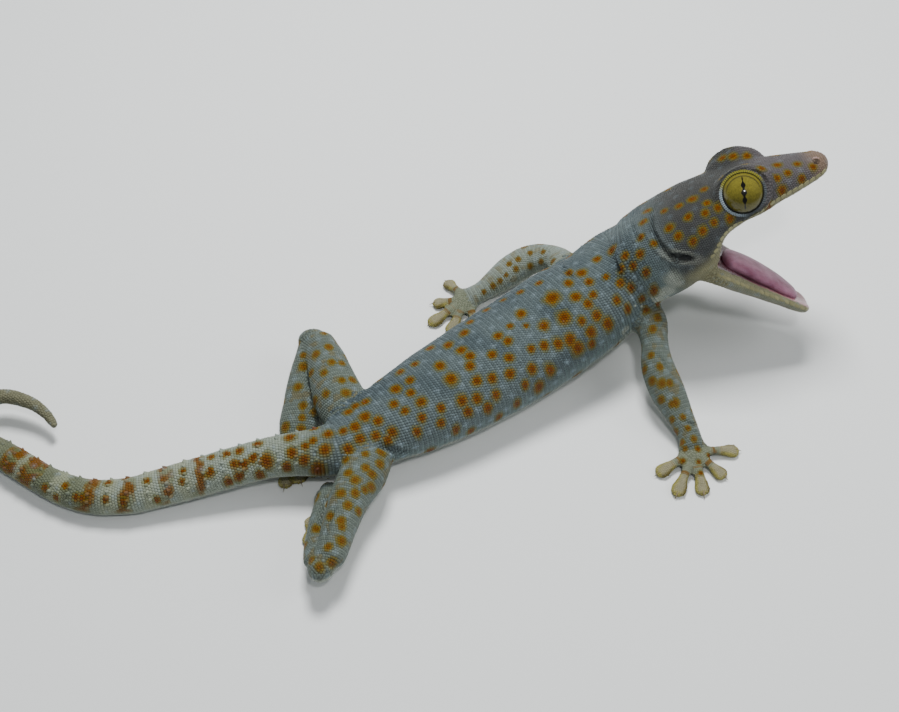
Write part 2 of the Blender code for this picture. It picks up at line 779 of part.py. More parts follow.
def foreleg(side, stations, tips, trunk, parts, cutters):
    elbow = 3
    limb_node(f"upper_arm_{side}", stations, 0, elbow, (0.0, 0.0), trunk, parts, cutters)
    fore = limb_node(f"forearm_{side}", stations, elbow, None, (0.0, 1.6), trunk, parts, cutters)
    palm = (*stations[-1][:2], 1.7)
    foot(f"hand_{side}", fore, palm, tips, trunk, parts, cutters)


def hind_leg(side, thigh, shank, palm, tips, trunk, parts, cutters):
    upper = limb_node(f"thigh_{side}", thigh, 0, None, (0.0, 3.0), trunk, parts, cutters)
    nearby = [*trunk, upper]
    lower = limb_node(f"shank_{side}", shank, 0, None, (1.6, 1.4), nearby, parts, cutters)
    foot(f"foot_{side}", lower, palm, tips, nearby, parts, cutters)


def limbs(parts, cutters, nodes):
    front = [nodes["belly"], nodes["chest"], nodes["neck"]]
    rear = [nodes["belly"], nodes["hips"], nodes["tail_base"]]
    foreleg("right", ARM_RIGHT, HAND_RIGHT_TIPS, front, parts, cutters)
    foreleg("left", ARM_LEFT, HAND_LEFT_TIPS, front, parts, cutters)
    hind_leg("right", THIGH_RIGHT, SHANK_RIGHT, PALM_RIGHT, FOOT_RIGHT_TIPS, rear, parts, cutters)
    hind_leg("left", THIGH_LEFT, SHANK_LEFT, PALM_LEFT, FOOT_LEFT_TIPS, rear, parts, cutters)


def place_on_origin(parts):
    """Put the middle of the underside at the origin and turn millimetres into metres."""
    points = [v.co for obj in parts.objects for v in obj.data.vertices]
    low = [min(p[i] for p in points) for i in range(3)]
    high = [max(p[i] for p in points) for i in range(3)]
    shift = Vector((-(low[0] + high[0]) / 2, -(low[1] + high[1]) / 2, -low[2]))
    place = Matrix.Scale(MM, 4) @ Matrix.Translation(shift)
    for obj in parts.objects:
        obj.data.transform(place)


def dress(parts):
    """Give each node its own material."""
    for obj in parts.objects:
        if obj.name.startswith("eye"):
            looks = (EYE, EYE_ROUGHNESS)
        elif obj.name == "tongue":
            looks = (MOUTH, 0.4)
        else:
            looks = (SKIN, SKIN_ROUGHNESS)
        obj.data.materials.clear()
        obj.data.materials.append(material(obj.name + "_finish", *looks))
        obj.data.shade_smooth()
        obj.data.set_sharp_from_angle(angle=SMOOTH_ANGLE)


def build():
    clear_scene()
    parts = bpy.data.collections.new("tokay_gecko")
    cutters = bpy.data.collections.new("cutters")
    bpy.context.scene.collection.children.link(parts)
    bpy.context.scene.collection.children.link(cutters)
    skull, jaw = head_nodes(parts, cutters)
    nodes, spans = spine_nodes(parts)
    cut_clear(nodes["neck"], [skull, jaw, nodes["chest"]], cutters)
    limbs(parts, cutters, nodes)
    grow_tubercles(nodes, spans, cutters)
    place_on_origin(parts)
    dress(parts)


build()
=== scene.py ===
"""A tokay gecko dressed as a museum model: one scaled skin, glossy eyes and a moist mouth.

The skin and every scale are laid over the same lofts that the solids were made from. All
lengths are in millimetres in the body's own frame until a piece is set in place in metres.
"""
import math
import random
from itertools import product

import bmesh
import bpy
import numpy as np
from mathutils import Matrix, Vector, noise
from mathutils.bvhtree import BVHTree
from mathutils.kdtree import KDTree


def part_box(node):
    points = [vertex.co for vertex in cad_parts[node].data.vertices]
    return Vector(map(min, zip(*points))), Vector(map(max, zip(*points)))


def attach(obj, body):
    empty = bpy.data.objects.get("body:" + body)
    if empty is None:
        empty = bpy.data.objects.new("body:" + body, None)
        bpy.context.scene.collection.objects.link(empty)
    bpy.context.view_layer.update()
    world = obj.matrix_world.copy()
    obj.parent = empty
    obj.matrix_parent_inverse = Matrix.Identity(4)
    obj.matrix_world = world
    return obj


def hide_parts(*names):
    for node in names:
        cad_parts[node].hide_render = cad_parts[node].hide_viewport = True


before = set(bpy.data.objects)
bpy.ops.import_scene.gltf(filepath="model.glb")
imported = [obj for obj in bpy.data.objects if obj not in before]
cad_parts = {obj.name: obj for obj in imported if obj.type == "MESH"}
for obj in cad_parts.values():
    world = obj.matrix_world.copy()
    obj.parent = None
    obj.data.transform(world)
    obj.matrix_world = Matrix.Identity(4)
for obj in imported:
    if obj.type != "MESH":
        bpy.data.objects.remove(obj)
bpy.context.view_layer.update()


def linear(text):
    """A screen colour such as #RRGGBB as linear light."""
    parts = [int(text[i:i + 2], 16) / 255 for i in (1, 3, 5)]
    return np.array([c / 12.92 if c <= 0.04045 else ((c + 0.055) / 1.055) ** 2.4 for c in parts])


# The body's measures, in millimetres
MM = 0.001
SPLINE_STEPS = 24
TANGENT_STEP = 0.4
WELD = 0.0001
HEAD_LENGTH = 46.2
HEAD_BASE = Vector((52.0, -1.2, 21.4))
HEAD_YAW = math.radians(-22)
HEAD_PITCH = math.radians(30)
HEAD_ROLL = math.radians(32)
GAPE = math.radians(60)
JAW_HINGE = Vector((9.0, 0.0, -1.5))
EYE_RADIUS = 5.4
EYE_CENTRE = Vector((25.0, 8.8, 7.0))
EYE_AXIS = Vector((0.12, 0.93, 0.33)).normalized()
SOCKET_RADIUS = 5.95
EYE_OPENING = 4.7
BROW_OFFSET = Vector((0.3, -1.3, 0.2))
BROW_RADII = (8.2, 5.8, 6.1)
EAR = Vector((6.0, 15.4, 2.6))
EAR_RADII = (3.2, 4.0, 1.0)
EAR_LEAN = math.radians(38)
EAR_DEPTH = 0.8
NOSTRIL = Vector((43.4, 4.4, 4.0))
PALM_RADII = (4.0, 4.0, 1.7)
PAD_HALF_WIDTH = 2.6
TOE_RADIUS = 1.4
CLAW_LENGTH = 0.5
PALM_HEIGHT = 1.7
TIP_HEIGHT = 0.9
KNUCKLE_HEIGHT = 1.5
TOE_ROUND = 1.6
HEAD_ROUND = 2.6
TONGUE_ROUNDS = (2.0, 2.0)
TONGUE_SQUARENESS = (2.2, 2.2)
SOCKET_SINK = 0.9
NECK_TURN_LEAD = 8.0
NECK_GUIDES = ((-5.0, 0.9), (0.0, 0.98), (5.0, 0.85))

# How square the upper and lower halves of a section are, 2 being an ellipse
BODY_SQUARENESS = (2.0, 2.3)
HEAD_SQUARENESS = (2.3, 3.2)
JAW_SQUARENESS = (2.2, 3.4)
END_LEAST = 0.0004
PALATE_SHARE = 0.82
END_ANGLES = tuple(math.radians(a) for a in (8, 22, 36, 50, 64, 78))

# Stations hold x, y, z, half width, rise above and drop below the centre line
TAIL_STATIONS = (
    (-92.9, 47.6, 4.2, 0.9, 0.9, 0.9),
    (-93.2, 51.8, 5.2, 1.3, 1.3, 1.3),
    (-95.5, 57.0, 6.2, 1.7, 1.6, 1.6),
    (-100.7, 62.1, 6.6, 2.0, 1.9, 1.9),
    (-107.6, 62.0, 6.0, 2.4, 2.3, 2.3),
    (-109.4, 55.3, 5.0, 2.9, 2.8, 2.8),
    (-106.7, 48.6, 4.0, 3.4, 3.2, 3.3),
    (-97.7, 30.0, 3.7, 3.8, 3.7, 3.9),
    (-87.8, 21.1, 4.1, 4.2, 4.1, 4.3),
    (-73.6, 15.8, 5.4, 4.6, 4.5, 4.6),
    (-54.8, 8.7, 8.2, 4.9, 4.5, 4.5),
)
TRUNK_STATIONS = (
    (-43.6, 2.9, 8.6, 6.2, 5.4, 5.0),
    (-35.9, 1.9, 8.4, 8.0, 6.3, 6.6),
    (-17.4, 1.4, 8.9, 12.0, 8.3, 9.1),
    (0.0, 1.4, 9.4, 13.6, 9.8, 9.8),
    (13.2, 1.4, 10.6, 14.0, 10.2, 10.3),
    (25.0, 1.3, 13.0, 13.9, 10.4, 10.4),
    (34.2, 1.3, 15.0, 12.9, 10.0, 10.5),
)

# Head stations, in the head's own frame with the lip line at z = 0 and the ear at x = 0
# Each holds x, centre height, half width, rise, drop and the depth of the palate
HEAD_STATIONS = (
    (-5.0, 1.2, 14.2, 10.8, 9.8, 0.0),
    (0.0, 1.4, 15.2, 11.4, 9.8, 0.0),
    (6.0, 1.5, 16.0, 11.5, 9.2, 0.0),
    (12.0, 2.0, 15.8, 10.9, 8.2, 0.0),
    (17.0, 3.2, 14.4, 9.2, 3.6, 0.8),
    (22.0, 3.9, 12.6, 7.8, 3.9, 2.0),
    (28.0, 3.7, 10.8, 7.1, 4.4, 2.0),
    (34.0, 3.2, 8.9, 5.7, 4.0, 1.8),
    (39.0, 2.6, 7.2, 4.2, 3.4, 1.4),
    (43.0, 2.1, 5.6, 3.1, 2.8, 0.8),
    (HEAD_LENGTH, 1.9, 4.2, 2.3, 2.2, 0.3),
)
# The lower jaw as it lies when the mouth is shut
JAW_STATIONS = (
    (8.0, -4.0, 14.4, 3.2, 4.4, 0.6),
    (16.0, -3.2, 13.4, 3.0, 3.6, 1.4),
    (24.0, -2.7, 11.0, 2.5, 2.8, 1.4),
    (32.0, -2.2, 8.4, 2.1, 2.2, 1.2),
    (38.0, -1.9, 6.4, 1.8, 1.8, 0.8),
    (43.0, -1.7, 4.4, 1.5, 1.4, 0.2),
)
TONGUE_STATIONS = (
    (17.0, -0.8, 5.8, 1.5, 2.0, 0.0),
    (24.0, -0.1, 6.4, 1.7, 2.2, 0.0),
    (32.0, 0.0, 5.4, 1.5, 2.0, 0.0),
    (38.5, -0.5, 3.0, 1.0, 1.4, 0.0),
)

# Limb stations, from root to wrist or ankle
ARM_RIGHT = (
    (39.0, -4.0, 14.5, 5.4, 5.4, 5.4),
    (41.0, -11.5, 14.2, 4.6, 4.6, 4.6),
    (38.8, -17.0, 12.4, 3.4, 3.4, 3.4),
    (36.3, -21.6, 10.0, 4.0, 3.9, 3.9),
    (35.0, -27.0, 7.6, 4.4, 4.0, 4.0),
    (34.0, -33.0, 5.2, 3.6, 3.2, 3.2),
    (33.0, -38.6, 3.4, 2.9, 2.4, 2.4),
    (31.6, -42.6, 2.3, 3.2, 1.8, 2.3),
)
ARM_LEFT = (
    (32.0, 6.0, 13.0, 5.0, 5.0, 5.0),
    (35.6, 14.5, 11.8, 4.4, 4.4, 4.4),
    (36.8, 20.5, 9.6, 3.6, 3.6, 3.6),
    (33.2, 25.4, 7.6, 4.0, 3.8, 3.8),
    (27.0, 26.4, 6.0, 4.2, 3.8, 3.8),
    (21.5, 26.3, 4.6, 3.4, 3.1, 3.1),
    (17.4, 26.6, 3.4, 2.8, 2.4, 2.4),
    (13.6, 27.4, 2.3, 3.2, 1.8, 2.3),
)
THIGH_RIGHT = (
    (-33.0, -1.0, 8.2, 5.2, 4.6, 4.8),
    (-38.6, -7.0, 9.0, 5.6, 4.8, 5.0),
    (-45.0, -11.2, 9.2, 4.8, 4.5, 4.5),
    (-51.5, -16.8, 8.8, 4.0, 3.9, 3.9),
    (-58.6, -23.6, 8.2, 3.3, 3.3, 3.3),
)
SHANK_RIGHT = (
    (-60.3, -21.4, 7.2, 2.9, 2.9, 2.9),
    (-57.4, -17.0, 6.0, 3.2, 3.0, 3.0),
    (-52.4, -10.6, 4.9, 3.1, 2.8, 2.8),
    (-47.6, -5.2, 4.0, 2.7, 2.3, 2.3),
    (-45.4, -3.2, 2.8, 2.6, 1.6, 2.2),
)
THIGH_LEFT = (
    (-33.4, 4.0, 8.0, 6.4, 4.6, 4.8),
    (-33.4, 12.2, 8.8, 6.4, 5.0, 5.0),
    (-31.6, 19.6, 9.0, 5.6, 4.8, 4.8),
    (-29.7, 26.4, 8.7, 4.9, 4.3, 4.3),
    (-28.0, 34.2, 8.3, 3.6, 3.5, 3.5),
)
SHANK_LEFT = (
    (-30.2, 32.6, 7.6, 3.2, 3.2, 3.2),
    (-34.6, 28.0, 6.6, 3.5, 3.4, 3.4),
    (-40.0, 21.2, 5.2, 4.2, 3.4, 3.4),
    (-43.8, 15.6, 4.2, 4.8, 3.0, 3.2),
    (-46.8, 11.6, 2.8, 4.2, 2.2, 2.6),
)

# Middles of the hind feet
PALM_RIGHT = (-47.8, -5.4, 1.5)
PALM_LEFT = (-48.4, 12.0, 1.6)

# Toe tips of each foot, from the thumb round to the outer toe
HAND_RIGHT_TIPS = ((41.6, -48.2), (33.6, -52.4), (25.8, -53.2), (20.2, -49.6), (20.2, -42.2))
HAND_LEFT_TIPS = ((13.0, 37.0), (5.4, 32.2), (0.8, 26.6), (3.4, 20.8), (10.6, 18.0))
FOOT_RIGHT_TIPS = ((-56.0, -8.6), (-58.4, -12.4), (-57.4, -15.8), (-54.2, -17.6), (-48.8, -15.4))
FOOT_LEFT_TIPS = ((-42.5, 7.5), (-46.0, 2.2), (-50.8, 2.6), (-55.1, 3.7), (-57.4, 9.8))

# Spacing of the rings and points round a ring of each kind of loft
MESH_STEPS = {"spine": (1.2, 72), "head": (0.8, 72), "jaw": (0.8, 72), "arm": (0.8, 36),
              "leg": (0.8, 36), "toe": (0.5, 20), "tongue": (0.5, 40)}

# The photographed view, in the body's own frame and in pixels
PHOTO_WIDE = 899
PHOTO_TALL = 712
LENS = 50.0
SENSOR = 36.0
CAMERA_RISE = math.radians(52)
CAMERA_TURN = math.radians(-34)
CAMERA_FAR = 320.0
CAMERA_AIM = Vector((0.0, 15.5, 0.0))

# Folds of the skin as seen, each with its depth and half width in millimetres
FOLDS = (
    (0.9, 0.7, ((655, 205), (651, 214), (651, 230), (659, 245), (676, 262), (697, 256))),
    (0.4, 0.6, ((632, 222), (634, 233), (641, 244))),
    (0.4, 0.8, ((668, 262), (676, 276), (690, 286))),
    (0.6, 0.6, ((327.7, 487), (321, 510), (319.5, 525), (317, 540))),
    (0.35, 0.5, ((338, 498), (330, 520), (324, 545))),
    (0.6, 0.6, ((303, 358), (307.5, 379.5), (310.5, 403.5), (312, 420))),
    (0.7, 0.8, ((415, 452), (400, 452), (375, 445))),
    (0.5, 0.7, ((612, 352), (622, 338), (632, 328))),
    (0.35, 0.5, ((655, 352), (662, 360), (668, 370))),
    (0.35, 0.5, ((682, 420), (690, 424), (698, 426))),
    (0.45, 0.6, ((560, 262), (566, 272), (574, 280))),
)
# How quickly a fold deepens from its ends
FOLD_EASE = 3.6
# Side of the cubes that the skin is wrapped with
VOXEL = 0.5
# Flesh that rounds off each knee and the web of skin in its bend: middle, radii and turn
JOINT_SWELLINGS = (
    ((-59.3, -22.2, 7.6), (3.9, 3.2, 3.4), 40),
    ((-29.2, 33.2, 7.9), (3.9, 3.4, 3.6), -40),
    ((-35.6, 21.4, 6.2), (3.4, 9.5, 2.9), -40),
)
# How far the hide lies under the scales, and how often it is smoothed
SKIN_INSET = 0.14
SMOOTH_PASSES = 4
# The bend of the neck, where the lofts crowd and the hide is eased
NAPE = Vector((42.2, 3.2, 22.5))
NAPE_REACH = 8.0
NAPE_PASSES = 90
FLOOR_CLEARANCE = 0.03
# The hide round an eye: how near it comes under the ball, and where the brow is shaved and raised
UNDER_EYE = 4.85
SHAVED_FAR = 12.0
LEDGE_FADE = (7.2, 6.0)
# Slow unevenness of the hide
WRINKLE_SIZE = 5.0
WRINKLE_DEPTH = 0.16
NOSTRIL_DEPTH = 0.9
NOSTRIL_REACH = 1.0

# Spacing of the scales on each kind of length, and how far out their search starts
SCALE_PITCH = {"trunk": 0.68, "tail": 0.72, "head": 0.58, "jaw": 0.62, "arm": 0.6, "leg": 0.62,
               "toe": 0.52}
SEARCH_FAR = {"trunk": 1.6, "tail": 1.2, "head": 5.5, "jaw": 2.0, "arm": 1.4, "leg": 1.4, "toe": 1.0}
SEARCH_REACH = {"trunk": 1.6, "tail": 1.2, "head": 1.4, "jaw": 1.6, "arm": 1.4, "leg": 1.4, "toe": 1.0}
# Rows lie a little closer than the scales along a row
ROW_SHARE = 0.88
# How high a scale stands over the hide and how deep it is set in
SCALE_HEIGHT = 0.15
SCALE_SUNK = 0.1
# Half width of a scale in pitches, and the pitch at which it has its full height
SCALE_SHARE = 0.59
SCALE_TALL_AT = 0.75
# A scale rises level by level, each with its radius and height as shares
GRANULE_LEVELS = ((1.0, 0.0), (0.86, 0.62))
SEAT_COLUMNS = ("point", "normal", "forward", "kind", "size", "s", "angle", "uv", "tube")
# A seat is left out where the skin faces away or another is nearer than this share of a pitch
SEAT_FACING = 0.35
CROWDING = 0.62
SEAT_CELL = 0.8
SCALES_A_PIECE = 8800
# Half width of the mouth's bare lining, as a share of the jaw's
LINING_WIDTH = 0.84
# How far along the upper and lower jaws the corners of the mouth lie
MOUTH_CORNER = {"head": 19.0, "jaw": 4.0}
# The square that scales are unrolled on, in millimetres, and a scale's share of it
BAKE_SPAN = 270.0
BAKE_PATCH = 0.0015
# Points round a ring when places on it are looked for
RING_DENSE = 144
# Where a place counts as bare, in pitches, and how far and how low it may lie
FILL_GAP = 0.85
FILL_SPACING = 0.7
FILL_FAR = 4.5
FILL_LOW = 0.3
# How far scales keep from the lining and from an ear's middle
LINING_CLEAR = 0.6
EAR_BARE = 0.8

# Spots as seen in the picture, and the half width of each kind in millimetres
HEAD_SPOTS = (
    (813, 167), (797, 164), (777, 165), (777, 178), (802, 179), (782, 191), (769, 206), (788, 173),
    (762, 168), (722, 158), (733, 156), (747, 156), (679, 206), (692, 199), (664, 211), (688, 217),
    (669, 228), (707, 203), (705, 213), (714, 223), (703, 231), (693, 242), (718, 208), (730, 219),
    (704, 189), (678, 236), (643, 222), (647, 211), (625, 256), (640, 254), (612, 250), (633, 266),
    (621, 269), (606, 277), (620, 283), (646, 273), (654, 291), (617, 300), (642, 299), (631, 288),
    (628, 309), (658, 304), (646, 310), (654, 243), (641, 237),
)
ARM_LEFT_SPOTS = (
    (530, 253), (543, 252), (530, 266), (506, 275), (493, 286), (518, 259), (553, 261), (516, 269),
    (500, 281), (484, 292), (541, 262), (524, 247), (509, 264),
)
BACK_SPOTS = ((510, 326), (526, 326), (503, 300), (520, 292), (539, 283), (486, 310), (470, 322))
BODY_SPOTS = (
    (569, 273), (581, 273), (597, 259),
    (589, 282), (568, 283), (576, 297), (593, 295), (588, 304), (582, 321), (597, 316), (544, 326),
    (521, 314), (498, 336), (508, 341), (544, 346), (558, 344), (591, 332), (592, 344), (531, 349),
    (509, 358), (492, 355), (464, 333), (448, 345), (430, 348), (415, 364), (461, 350), (470, 356),
    (470, 366), (440, 366), (477, 381), (492, 378), (510, 374), (532, 369), (525, 385), (550, 370),
    (539, 387), (477, 399), (462, 401), (496, 395), (468, 412), (441, 408), (421, 402), (411, 393),
    (410, 380), (405, 411), (422, 418), (417, 432), (441, 423), (456, 430), (499, 417), (517, 404),
    (488, 408), (471, 431),
)
BIG_SPOTS = (
    (552, 298), (564, 318), (608, 324), (570, 340), (578, 348), (451, 379), (325, 450), (266, 461),
    (318, 470),
)
ARM_SPOTS = (
    (653, 329), (658, 318), (651, 355), (660, 367), (644, 370), (652, 381), (662, 383), (670, 383),
    (661, 400), (675, 403),
)
LEGS_SPOTS = (
    (316, 354), (329, 347), (324, 333), (332, 362), (342, 363), (303, 355), (311, 373), (324, 373),
    (342, 380), (353, 380), (346, 393), (326, 394), (298, 387), (303, 367), (315, 401), (303, 406),
    (314, 412), (302, 418), (346, 460), (365, 454), (381, 452), (380, 464), (348, 473), (366, 468),
    (372, 474), (355, 480), (332, 481), (365, 490), (355, 493), (341, 493), (371, 487), (348, 505),
    (330, 516), (359, 512), (341, 521), (342, 527), (316, 529), (342, 541), (328, 547), (311, 560),
    (332, 563), (319, 567),
)
HIPS_SPOTS = (
    (285, 427), (301, 429), (314, 429), (290, 437), (328, 434), (343, 431), (355, 427), (365, 417),
    (378, 421), (394, 404), (348, 412), (305, 446), (313, 441), (292, 453), (360, 439), (376, 436),
    (392, 432), (388, 440), (348, 449), (396, 389), (400, 372), (365, 402), (355, 406), (257, 444),
    (227, 454), (239, 451), (253, 458), (234, 464), (244, 464), (260, 475), (229, 482), (239, 477),
    (210, 471), (287, 467), (304, 460),
)
HAND_SPOTS = (
    (683, 417), (672, 420), (676, 432), (688, 428), (694, 439), (682, 443), (685, 449), (698, 449),
    (706, 444), (717, 444), (674, 449), (709, 456), (683, 461), (699, 462), (701, 473), (672, 404),
)
TAIL_SPOTS = (
    (258, 444), (228, 454), (239, 464), (245, 463), (254, 457), (230, 482), (241, 476), (260, 475),
    (210, 470), (211, 457), (183, 471), (182, 482), (157, 500), (147, 481), (123, 502), (105, 500),
    (108, 483), (76, 497), (65, 486), (45, 488), (22, 481), (4, 468), (56, 498), (82, 498),
)
SPOT_RADIUS = (
    (HAND_SPOTS, 0.75), (TAIL_SPOTS, 0.9), (HEAD_SPOTS, 1.0), (BODY_SPOTS, 1.2), (BIG_SPOTS, 1.65),
    (ARM_SPOTS, 0.95), (ARM_LEFT_SPOTS, 0.65), (BACK_SPOTS, 0.8), (LEGS_SPOTS, 0.92), (HIPS_SPOTS, 1.2),
)
# Bars over the tail as seen, with their half width along it
TAIL_BARS = ((8, 461, 2.2), (30, 471, 2.3), (87, 492, 1.4), (126, 496, 1.3), (167, 486, 1.3),
             (200, 479, 1.1))
# Pale hide of the throat and the armpit, and how far it reaches
PALE_PATCHES = ((674, 280, 2.8), (668, 292, 2.2), (625, 331, 1.6))
# How far apart the spots of the unseen sides and the pale dots lie
HIDDEN_SPACING = {"trunk": 6.6, "head": 4.8, "arm": 5.0, "leg": 5.2}
PALE_SPACING = {"trunk": 3.3, "head": 4.2, "jaw": 4.0, "arm": 3.4, "leg": 3.4, "tail": 3.4}
PALE_RADIUS = 0.62
PALE_CELL = 4.5
PALE_CLEAR = 2.1
# How much painted shade darkens a crease, an ear cup or a nostril, and how far from the lofts the mouth
# stays moist
CREASE_SHADE = 0.6
LINING_REACH = 2.2
# From where to where along the head painted shade darkens the mouth towards the gullet
GULLET_FADE = (24.0, 13.0)
TOE_BAR_PITCH = 2.3
# How far the tail's bars bend back down its sides
BAR_BEND = 1.8
# How much one scale differs in tone from the next
TONE_SPREAD = 0.1
# Every second ring of scales is painted darker and the rest lighter: painted light and shade of fine
# wrinkles across the hide
WRINKLE_RING_LIT = 0.1
WRINKLE_RING_SHADE = 0.2
# How much taller than wide a spot is on a flank, and how dark the hide is between the scales
SPOT_STRETCH = 0.66
BETWEEN_SCALES = 0.66

# Tones of the hide
BACK = linear("#545F60")
BACK_DARK = linear("#414C50")
FLANK = linear("#617070")
BELLY = linear("#989E92")
CROWN = linear("#3B3A38")
SNOUT = linear("#555152")
SNOUT_TIP = linear("#7A6552")
# Partly the cheek's own colour, partly painted shade on the lower side of the head
CHEEK_WITH_SHADE = linear("#3A3D3E")
THROAT = linear("#84826E")
LIMB = linear("#5E675E")
ARM_LEFT_TONE = linear("#7D867C")
TAIL = linear("#62674F")
TAIL_NEAR = linear("#858E82")
TAIL_PALE = linear("#858A74")
PALM = linear("#757A64")
TOE = linear("#8A856A")
# Painted shade on one side of each toe pad
TOE_PAD_SHADE = linear("#3E2E12")
TOE_BAR = linear("#684600")
SPOT_CORE = linear("#5E2C00")
SPOT_EDGE = linear("#6A4A00")
SPOT_HALO = linear("#585612")
PALE_SPOT = linear("#7F9098")
LIP = linear("#8A8764")
LIMB_SPOT = linear("#655308")
TOE_EDGE = linear("#86803C")
TAIL_TIP = linear("#6C6B56")
LINING = linear("#A8787E")
# Painted shade deep in the mouth
GULLET_SHADE = linear("#4E262E")
EAR_LIP = linear("#8A8C80")

# The painted eye and the ring of beads round it
IRIS_RADIUS = 4.55
PUPIL_HALF_HEIGHT = 4.1
PUPIL_HALF_WIDTH = 0.62
PUPIL_LOBES = 3.4
PUPIL_LEAN = math.radians(21)
CRESCENT_RADIUS = 4.0
IRIS_DEEP = linear("#4A4614")
IRIS_GOLD = linear("#6E6724")
IRIS_DARK = linear("#1C1B14")
RIM_TONE = linear("#4A4F52")
RIM_PALE = linear("#8C99A2")
RIM_YELLOW = linear("#7B7720")
RIM_INNER = linear("#2E312E")
RIM_RADIUS = 5.05
RIM_THICKNESS = 0.42
RIM_OUT = 2.2
# Rows of beads, each with its radius and height over the eye, and how far each leans outward
RIM_ROWS = ((4.78, 2.5), (5.05, 2.62), (5.4, 2.45))
RIM_TILTS = (-0.5, 0.1, 0.8)
RIM_BEAD_PITCH = 0.5
RIM_BEAD_SIZE = (RIM_BEAD_PITCH * 0.58, RIM_BEAD_PITCH * 0.58, 0.3)
RIM_BEAD_SINK = 0.14
EYE_ROWS = 90
EYE_SHRINK = 0.04

# Tubercles: spacing of the rows and their angles from the middle of the back, half width and
# height, and how far each leans back
TUBERCLE_ROWS = {"trunk": (5.2, (8, 26, 44, 62)), "tail": (4.4, (12, 36, 60))}
TUBERCLE_SIZE = {"trunk": (0.5, 0.26), "tail": (0.55, 0.62)}
TUBERCLE_LEAN = {"trunk": 0.25, "tail": 0.6}
# Bare ends of the spine, and where along the tail the tubercles have grown to full size
TUBERCLE_ENDS = (9.0, 12.0)
TUBERCLE_GROWN = 40.0
TUBERCLE_SUNK = 0.3
TUBERCLE_LEVELS = ((1.0, 0.0), (0.72, 0.45), (0.34, 0.82))
# How far out from a loft the skin is looked for
MET_FAR = 1.5
# Plates of the lips: the loft, where the row starts on it, and its angle below the middle
LIP_ROWS = (("head", 17.5, -13), ("jaw", 7.0, -10))
LIP_END = 1.2
PLATE_LENGTH = 1.25
PLATE_GROWTH = 0.45
PLATE_HALF_WIDTH = 0.4
PLATE_HEIGHT = 0.22
PLATE_SUNK = 0.1
# Claws: radii at root and tip, height of the root, how far it reaches into the pad, and the droop
CLAW_RADII = (0.22, 0.03)
CLAW_HEIGHT = 1.45
CLAW_ROOT = 1.0
CLAW_DROP = 1.0
NOSTRIL_BEADS = 12
NOSTRIL_BEAD_RADIUS = 0.36
NOSTRIL_BEAD_SINK = 0.05
NOSTRIL_TONE = linear("#A08680")
TONGUE_TONES = (linear("#8C5A70"), linear("#B6869C"))
HORN_TONES = (linear("#5A5040"), linear("#8C8068"))
PUPIL_TONE = linear("#0B0A08")

# The studio in metres; each light's distance, side, power in watts and whether gloss shows it
FLOOR_HALF_SIZE = 4.0
FLOOR_TONE = linear("#E4E7E6")
FILL_TONE = linear("#E6EAF0")
FILL_STRENGTH = 0.26
KEY_TILT = math.radians(24)
KEY_LIGHT = (0.55, 0.16, 4.2, False)
GLINT_LIGHT = (0.5, 0.045, 0.6, True)
SIDE_LIGHT = (0.6, 0.3, 0.8, False)


class Line:
    """A smooth line through stations, read by the distance along it."""

    def __init__(self, stations):
        ends = [mirrored_end(stations[0], stations[1]), *stations,
                mirrored_end(stations[-1], stations[-2])]
        rows = []
        self.station_at = []
        for i in range(len(stations) - 1):
            self.station_at.append(len(rows))
            for k in range(SPLINE_STEPS):
                rows.append(catmull_rom(*ends[i:i + 4], k / SPLINE_STEPS))
        self.station_at.append(len(rows))
        rows.append(tuple(stations[-1]))
        self.rows = np.array(rows)
        steps = np.linalg.norm(np.diff(self.rows[:, :3], axis=0), axis=1)
        self.lengths = np.concatenate([[0.0], np.cumsum(steps)])
        self.length = float(self.lengths[-1])

    def distance(self, station):
        """How far along the line a station lies."""
        return float(self.lengths[self.station_at[station]])

    def row(self, s):
        """The station's values, read at a distance along the line."""
        return np.array([np.interp(s, self.lengths, column) for column in self.rows.T])

    def tangent(self, s):
        """Direction of the line at a distance, towards its last station."""
        ahead = self.row(min(s + TANGENT_STEP, self.length))[:3]
        behind = self.row(max(s - TANGENT_STEP, 0.0))[:3]
        return Vector(ahead - behind).normalized()


def mirrored_end(a, b):
    """The station before the first, which the curve needs to start straight."""
    return tuple(2 * p - q for p, q in zip(a, b))


def catmull_rom(p0, p1, p2, p3, t):
    """One value set between p1 and p2, with tangents from the outer two."""
    return tuple(
        0.5 * (2 * b + (c - a) * t + (2 * a - 5 * b + 4 * c - d) * t ** 2
               + (3 * b - a - 3 * c + d) * t ** 3)
        for a, b, c, d in zip(p0, p1, p2, p3))


